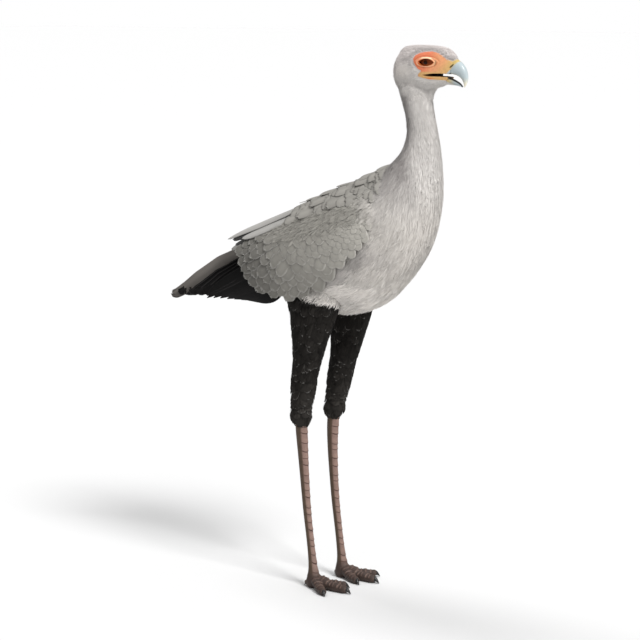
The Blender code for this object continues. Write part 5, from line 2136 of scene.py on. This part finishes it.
    def shoulder(self) -> None:
        """Soft down between scapulars and coverts, and breast down that laps over the wing's front."""
        draw = np.random.default_rng(54 + self.side)
        coat = Coat(f"shoulder_down_{self.word}", "grey_feathers")
        rows, cols = self.surface.grid.shape[:2]
        xi, arc = np.meshgrid(self.xi_start + np.arange(rows) * self.xi_step, np.arange(cols) * self.arc_step,
                              indexing="ij")
        edge, crease = np.interp(xi, *zip(*SCAPULAR_EDGE)), np.interp(xi, *zip(*CREASE))
        band = (arc > edge - 0.012) & (arc < crease - 0.01) & (xi > -0.02) & (xi < 0.3)
        limit = np.interp(arc, *zip(*SHOULDER_LINE))
        front = (xi > limit - 0.05) & (xi < limit - 0.026) & (arc > 0.075) & (arc < 0.155)
        for kind, gap, long, wide, fan in (
            (Kind(Outline.LEAF, 7, 5, -0.004, 0.0008, 0.08, 0.06, 0.0008, 0.06), 0.0068, 0.042, 0.01, 0.1),
            (Kind(Outline.BLADE, 5, 2, -0.003, 0.0014, 0.0, 0.0, 0.0012, 0.1), 0.0032, 0.036, 0.002, 0.12),
        ):
            a, b = self.surface.spread(gap, (band | front).astype(float))
            points = self.surface.at(a, b)
            tip = self.xi_start + a * self.xi_step + 0.03
            turn = 0.3 + draw.normal(0, fan, len(a)) + 0.2 * wobble(points, 0.05, 34)
            tint = mixed(body_tint(points) * 0.92, Shade.COVERT.linear * 1.05, step(tip, -0.01, 0.05))
            streak = wobble(points * np.array([0.3, 1, 1]), 0.012, 35)
            tint = tint * (1 + 0.1 * streak + draw.normal(0, 0.03, len(a)))[:, None]
            length = long * draw.uniform(0.8, 1.15, len(a))
            coat.add(lay(self.surface, kind, a, b, turn, length, wide, draw, 0.0006 * streak), tint)
        coat.build(DOWN_VANE.build())

    def tertials(self) -> None:
        """Long pale planks over the rump, with darkened copies in the slits between them as painted shade.

        Each is given by its tip's XI and ARC, heading, length, width, height and shade.
        """
        draw = np.random.default_rng(60 + self.side)
        coat = Coat(f"tertials_{self.word}", "grey_feathers", atlas=True)
        kind = Kind(Outline.PLANK, 26, 11, -0.004, 0.0016, 0.06, 0.006, 0.0, 0.004, 0.0006)
        # rows with a low last number are darkened copies in the slits: painted shade
        rows = np.array((
            (0.385, 0.014, 0.0, 0.2, 0.034, -0.0012, 0.9),
            (0.412, 0.041, 0.0, 0.215, 0.046, 0.004, 1.0),
            (0.347, 0.083, 0.05, 0.165, 0.022, 0.0036, 0.97),
            (0.384, 0.07, 0.03, 0.15, 0.022, 0.0004, 0.07),
            (0.394, 0.054, 0.03, 0.15, 0.026, -0.0004, 0.3),
            (0.372, 0.09, 0.06, 0.15, 0.02, -0.0008, 0.1),
            (0.384, 0.102, 0.1, 0.14, 0.024, -0.0014, 0.6),
        ))
        xi, arc, angle, length, width, lift, shade = rows.T
        batch = self.lay_on(kind, xi, arc, angle, length, width, draw, lift)
        outer = step(np.abs(batch.places[..., 0] - 0.5), 0.4, 0.5)
        coat.add(batch, Shade.TERTIAL.linear * (shade[:, None, None] * (1 - 0.25 * outer))[..., None])
        coat.build(PLAIN_VANE.build())

    def remiges(self) -> None:
        """Black flight feathers fanned from under the coverts, each lying a little under the one above."""
        draw = np.random.default_rng(70 + self.side)
        coat = Coat(f"remiges_{self.word}", "black_feathers", atlas=True)
        count = 9
        t = np.linspace(0, 1, count)
        xi = np.interp(t, (0, 0.35, 0.75, 1), (0.395, 0.455, 0.512, 0.5))
        arc = np.interp(t, (0, 0.35, 0.75, 1), (0.286, 0.291, 0.259, 0.228))
        root_xi = np.interp(t, (0, 0.75, 1), (0.185, 0.285, 0.315))
        root_arc = np.interp(t, (0, 0.75, 1), (0.172, 0.16, 0.15))
        fall, run = arc - root_arc, xi - root_xi
        angle, length = np.arctan2(fall, run), np.hypot(fall, run)
        kind = Kind(Outline.QUILL, 26, 9, -0.006, 0.003, 0.04, 0.006, 0.0, 0.004, 0.0005)
        lift = np.linspace(-0.004, 0.0, count)
        batch = self.lay_on(kind, xi, arc, angle, length, np.full(count, 0.0255), draw, lift)
        edge = step(batch.places[..., 0], 0.88, 0.97)
        shade = draw.uniform(0.55, 0.95, (count, 1, 1)) * (1 + 1.6 * edge)
        coat.add(batch, Shade.SOOT.linear * shade[..., None])
        coat.build(BLACK_VANE.build())

    def build(self) -> None:
        """The whole wing."""
        self.coverts()
        self.scapulars()
        self.shoulder()
        self.tertials()
        self.remiges()


COVERT_ZONE = (
    (0.006, 0.168), (0.012, 0.184), (0.028, 0.198), (0.055, 0.21), (0.089, 0.223), (0.134, 0.234),
    (0.173, 0.242), (0.199, 0.251), (0.223, 0.256), (0.26, 0.257), (0.285, 0.245), (0.31, 0.238),
    (0.33, 0.224), (0.349, 0.209), (0.363, 0.187), (0.372, 0.158), (0.384, 0.13), (0.38, 0.1),
    (0.34, 0.088), (0.303, 0.09), (0.26, 0.109), (0.217, 0.126), (0.157, 0.133), (0.105, 0.141),
    (0.047, 0.144), (0.015, 0.156),
)
SCAPULAR_EDGE = ((-0.045, 0.085), (0.001, 0.121), (0.033, 0.109), (0.073, 0.101), (0.128, 0.099),
                 (0.19, 0.089), (0.23, 0.084), (0.279, 0.078), (0.343, 0.07))
SHOULDER_LINE = ((0.03, 0.0), (0.085, 0.03), (0.12, 0.032), (0.15, 0.014), (0.185, 0.016), (0.215, 0.05))
CREASE = ((-0.045, 0.085), (0.0, 0.125), (0.015, 0.156), (0.047, 0.142), (0.105, 0.14), (0.157, 0.131),
          (0.217, 0.124), (0.26, 0.107), (0.303, 0.09), (0.343, 0.078))


@dataclass
class Tail:
    """The closed tail: a roof of pairs of long vanes, each pair under the one above it.

    Fields:
        tips: XI of each pair's tips.
        ridge: XI and ETA along the roof's top.
        width: width of a vane.
        root: XI where the vanes start.
    """

    tips: tuple[float, ...] = (0.62, 0.598, 0.58, 0.56, 0.538, 0.516)
    ridge: tuple = ((0.4, 0.064), (0.433, 0.069), (0.476, 0.0695), (0.547, 0.059), (0.604, 0.045),
                    (0.627, 0.037))
    width: float = 0.033
    root: float = 0.395

    def build(self) -> None:
        """Each vane lies across a normal that leans outwards, the more the lower its pair."""
        draw = np.random.default_rng(80)
        rows, cols = 34, 11
        t, s = np.linspace(0, 1, rows) ** 0.9, np.linspace(-1, 1, cols)
        i = np.arange(len(self.tips))[:, None]
        half = Outline.TAIL.half_width(t) * np.where(i == 0, 1.2, 1.0) * self.width / 2
        coat = Coat("tail_feathers", "black_feathers", atlas=True)
        for side in (-1, 1):
            xi = self.root + (np.array(self.tips)[:, None] - self.root) * t
            lean = np.radians(52 + 3.0 * i)
            top = np.interp(xi, *zip(*self.ridge)) - (0.0012 if side > 0 else 0.0)
            drop = (0.0035 + 0.0062 * t) * i
            eta = top - half * np.sin(lean) - drop
            y = side * (0.013 + 0.78 * drop - 0.004 * i + 0.004 * t)
            spine = slanted(xi, y, eta)
            up = slanted(0 * lean, side * np.sin(lean), np.cos(lean)) - slanted(0, 0, 0)
            ahead = unit(np.gradient(spine, axis=1))
            across = unit(np.cross(ahead, up))
            up = np.cross(across, ahead)
            ragged = draw.uniform(-0.004, 0.004, (len(i), 1, cols, 1)) * t[None, :, None, None] ** 4
            points = (spine[:, :, None] + ahead[:, :, None] * ragged
                      + across[:, :, None] * (half[..., None] * s)[..., None]
                      - up[:, :, None] * 0.1 * (half[..., None] * s**2)[..., None])
            shape = points.shape[:3]
            places = np.stack([np.broadcast_to(s / 2 + 0.5, shape), np.broadcast_to(t[:, None], shape)], -1)
            batch = Batch(points, places, None, draw.uniform(0, 1, len(i)), 0.0006, up[:, rows // 2])
            above = (points - spine[:, :, None])[..., 2]
            high = step(above, -0.012, 0.008)
            fade = (0.62 + 0.38 * high) * (1 - 0.4 * t)[:, None] * (i[:, :, None] == 0)
            rim = 1 + 2.2 * step(np.abs(s), 0.86, 0.96) * (above <= 0) * (i[:, :, None] > 0)
            coat.add(batch, mixed(Shade.SOOT.linear, Shade.TAIL_TOP.linear, fade) * rim[..., None])
        made = coat.build(BLACK_VANE.build())
        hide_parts("tail")


@dataclass
class Rump:
    """Down that closes the rump between the wings and covers the tail's roots.

    Fields:
        rows: XI, ETA, half width and half height of its core.
    """

    rows: tuple = (
        (0.33, 0.03, 0.05, 0.054), (0.36, 0.035, 0.04, 0.042), (0.385, 0.04, 0.029, 0.026),
        (0.405, 0.043, 0.02, 0.016), (0.425, 0.042, 0.012, 0.008),
    )

    def build(self) -> None:
        """Soot leaves and blades on a small surface round the tail's root, over a dark core."""
        draw = np.random.default_rng(90)
        turn = circle(96)
        xi, eta, width, height = (column[:, None] for column in smooth_rows(self.rows, 8).T)
        surface = Surface(slanted(xi, width * np.sin(turn), eta + height * np.cos(turn)))
        core = loft("rump", surface.grid)
        coat = Coat("rump_feathers", "black_feathers")
        for kind, spacing, long, wide in (
            (Kind(Outline.LEAF, 6, 5, -0.002, 0.001, 0.1, 0.06, 0.0008, 0.06), 0.0075, 0.026, 0.014),
            (Kind(Outline.BLADE, 5, 2, -0.001, 0.001, 0.0, 0.0, 0.0014, 0.12), 0.004, 0.02, 0.002),
        ):
            a, b = surface.spread(spacing, np.ones(surface.grid.shape[:2]))
            shade = Shade.SOOT.linear * draw.uniform(0.8, 1.4, (len(a), 1))
            length = long * draw.uniform(0.8, 1.2, len(a))
            coat.add(lay(surface, kind, a, b, draw.normal(0, 0.15, len(a)), length, wide, draw), shade)
        coat.build(BLACK_VANE.build())
        set_colour(core, "tint", np.tile(Shade.SOOT.linear, (len(core.data.vertices), 1)))
        core.data.materials.append(CORE.build())
        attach(core, "root")


@dataclass
class Claws:
    """Short blunt claws at the toes' ends."""

    def build(self) -> None:
        """Eight claws: circles along a line that bends down, thinner towards the tip."""
        horn = GrainFinish("claw horn", 0.38, coat=0.15, bump=0.15, coarse=120.0, fine=900.0, mottle=0.12)
        skin = Skin()
        for side, word in SIDES:
            for toe, x, y, root, tip, _, length in TOES:
                _, spine = skin.toe(side, (x, y), root, tip)
                ahead = unit((spine[-1] - spine[-2]) * np.array([1, 1, 0]))
                across = np.cross([0, 0, 1.0], ahead)
                t = np.linspace(-0.25, 1, 22)
                thick = tip * (0.46 * (1 - np.clip(t, 0, 1)) ** 0.75 + 0.09)
                middle = spine[-1] + ahead * (0.0006 + t * length * 0.78)[:, None]
                arch = tip * (1.05 - 0.85 * np.clip(t, 0, 1) ** 1.6)
                middle[:, 2] = np.maximum(thick * 1.16 + 0.0003, arch)
                turn = circle(24)
                ring = np.cos(turn)[:, None] * np.array([0, 0, 1.15]) + np.sin(turn)[:, None] * across
                made = loft(f"{toe}_claw_{word}", middle[:, None] + thick[:, None, None] * ring)
                mottle = 1 + 0.2 * wobble(co_of(made), 0.006, 51)
                set_colour(made, "tint", Shade.HORN_DARK.linear * mottle[:, None])
                made.data.materials.append(horn.build())
                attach(made, "root")
                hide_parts(f"claw_{toe}_{word}")
        log.info("claws: 8")


GREY_VANE = FeatherFinish("grey vane", 0.8, margin=0.34, margin_start=0.66, spread=0.06, root_dark=0.3,
                          barbs=12.0, bump=0.12, aspect=3.0)
LIGHT_VANE = FeatherFinish("mantle vane", 0.8, margin=0.25, margin_start=0.88, spread=0.08, root_dark=0.3,
                           barbs=16.0, bump=0.2, aspect=5.0)
PLAIN_VANE = FeatherFinish("tertial vane", 0.75, margin=0.12, margin_start=0.92, spread=0.04,
                           root_dark=0.1, barbs=70.0, bump=0.2, aspect=14.0)
DOWN_VANE = FeatherFinish("shoulder down", 0.9, sheen=0.05, spread=0.08, root_dark=0.2, barbs=3.0, bump=0.12)
BLACK_VANE = FeatherFinish("black vane", 0.75, specular=0.05, margin=0.05, margin_start=0.92, spread=0.3,
                           root_dark=0.2, barbs=80.0, bump=0.3, aspect=14.0)
CORE = GrainFinish("rump skin", 0.9)


@dataclass
class Studio:
    """Pale floor, soft light and the camera of the photo.

    Fields:
        eye: where the camera stands.
        yaw: its heading in degrees from +X.
        pitch: how far it looks down, in degrees.
        lens: focal length for a 36 mm wide sensor.
        bright: which way the sky is brightest.
        fill: the sky's strength away from there and there.
    """

    eye: tuple[float, float, float] = (2.623, -3.3862, 1.216)
    yaw: float = 127.566
    pitch: float = 8.807
    lens: float = 117.62
    bright: tuple[float, float, float] = (0.83, 0.08, 0.55)
    fill: tuple[float, float] = (0.09, 0.54)

    @staticmethod
    def aimed(ahead: tuple | list) -> Matrix:
        """The turn of a camera or light that looks along a vector."""
        return Vector(ahead).to_track_quat("-Z", "Y").to_matrix().to_4x4()

    def camera(self) -> None:
        """The camera, standing at the eye and looking along yaw and pitch."""
        data = bpy.data.cameras.new("camera")
        data.lens, data.sensor_width = self.lens, 36.0
        data.clip_end = 100.0
        made = linked("camera", data)
        yaw, pitch = math.radians(self.yaw), math.radians(self.pitch)
        ahead = (math.cos(pitch) * math.cos(yaw), math.cos(pitch) * math.sin(yaw), -math.sin(pitch))
        made.matrix_world = Matrix.Translation(self.eye) @ self.aimed(ahead)
        bpy.context.scene.camera = made

    def sun(self, name: str, place: tuple[float, float, float], strength: float, angle: float) -> None:
        """One far soft light, given by which way it lies, its strength and how many degrees it fills."""
        data = bpy.data.lights.new(name, "SUN")
        data.energy, data.angle = strength, math.radians(angle)
        linked(name, data).matrix_world = self.aimed([-each for each in place])

    def floor(self) -> None:
        """A wide, flat, pale floor, a little darker in the light that it throws up on the bird."""
        made = bpy.data.meshes.new("floor")
        corners = [(x * FLOOR_HALF, y * FLOOR_HALF, 0.0) for x, y in ((-1, -1), (1, -1), (1, 1), (-1, 1))]
        made.from_pydata(corners, [], [(0, 1, 2, 3)])
        piece = linked("floor", made)
        paint = bpy.data.materials.new("floor paint")
        paint.use_nodes = True
        graph = Graph(paint.node_tree)
        soft = graph.noise(graph.place(), 3.0)
        colour = graph.mix(soft, (0.787, 0.787, 0.787, 1), (0.797, 0.797, 0.797, 1))
        bounced = graph.add("ShaderNodeLightPath", {}, "Is Diffuse Ray")
        colour = graph.mix(graph.times(bounced, 0.12), colour, (0, 0, 0, 1))
        graph.fill(paint.node_tree.nodes["Principled BSDF"], {"Base Color": colour, "Roughness": 0.9})
        piece.data.materials.append(paint)

    def build(self) -> None:
        """Everything round the bird."""
        scene = bpy.context.scene
        scene.view_settings.view_transform = "Standard"
        world = bpy.data.worlds.new("studio")
        world.use_nodes = True
        graph = Graph(world.node_tree)
        ray = graph.add("ShaderNodeTexCoord", {}, "Generated")
        facing = graph.add("ShaderNodeVectorMath", {0: ray, 1: self.bright}, 1, operation="DOT_PRODUCT")
        lit = graph.ramp(facing, -1.0, 1.0, *self.fill)
        seen = graph.add("ShaderNodeLightPath", {}, "Is Camera Ray")
        graph.fill(world.node_tree.nodes["Background"],
                   {"Strength": graph.math("MAXIMUM", lit, seen), "Color": (1.0, 1.0, 1.0, 1.0)})
        scene.world = world
        self.camera()
        self.floor()
        self.sun("key", (0.95, -0.3, 0.97), 2.68, 19)
        self.sun("back", (-0.62, 0.15, 1.2), 1.05, 22)


def main() -> None:
    """Builds the bird part by part and writes how large it is."""
    logging.basicConfig(level=logging.INFO, format="%(name)s %(message)s")
    vane_group()
    grain_group()
    Skin().build(SkinFinish("skin", 0.55, bump=0.35, depth=0.0004).build())
    Head().build()
    Plumage().build()
    for side, word in SIDES:
        Wing(side, word).build()
    Tail().build()
    Rump().build()
    Claws().build()
    Studio().build()


if __name__ == "__main__":
    main()
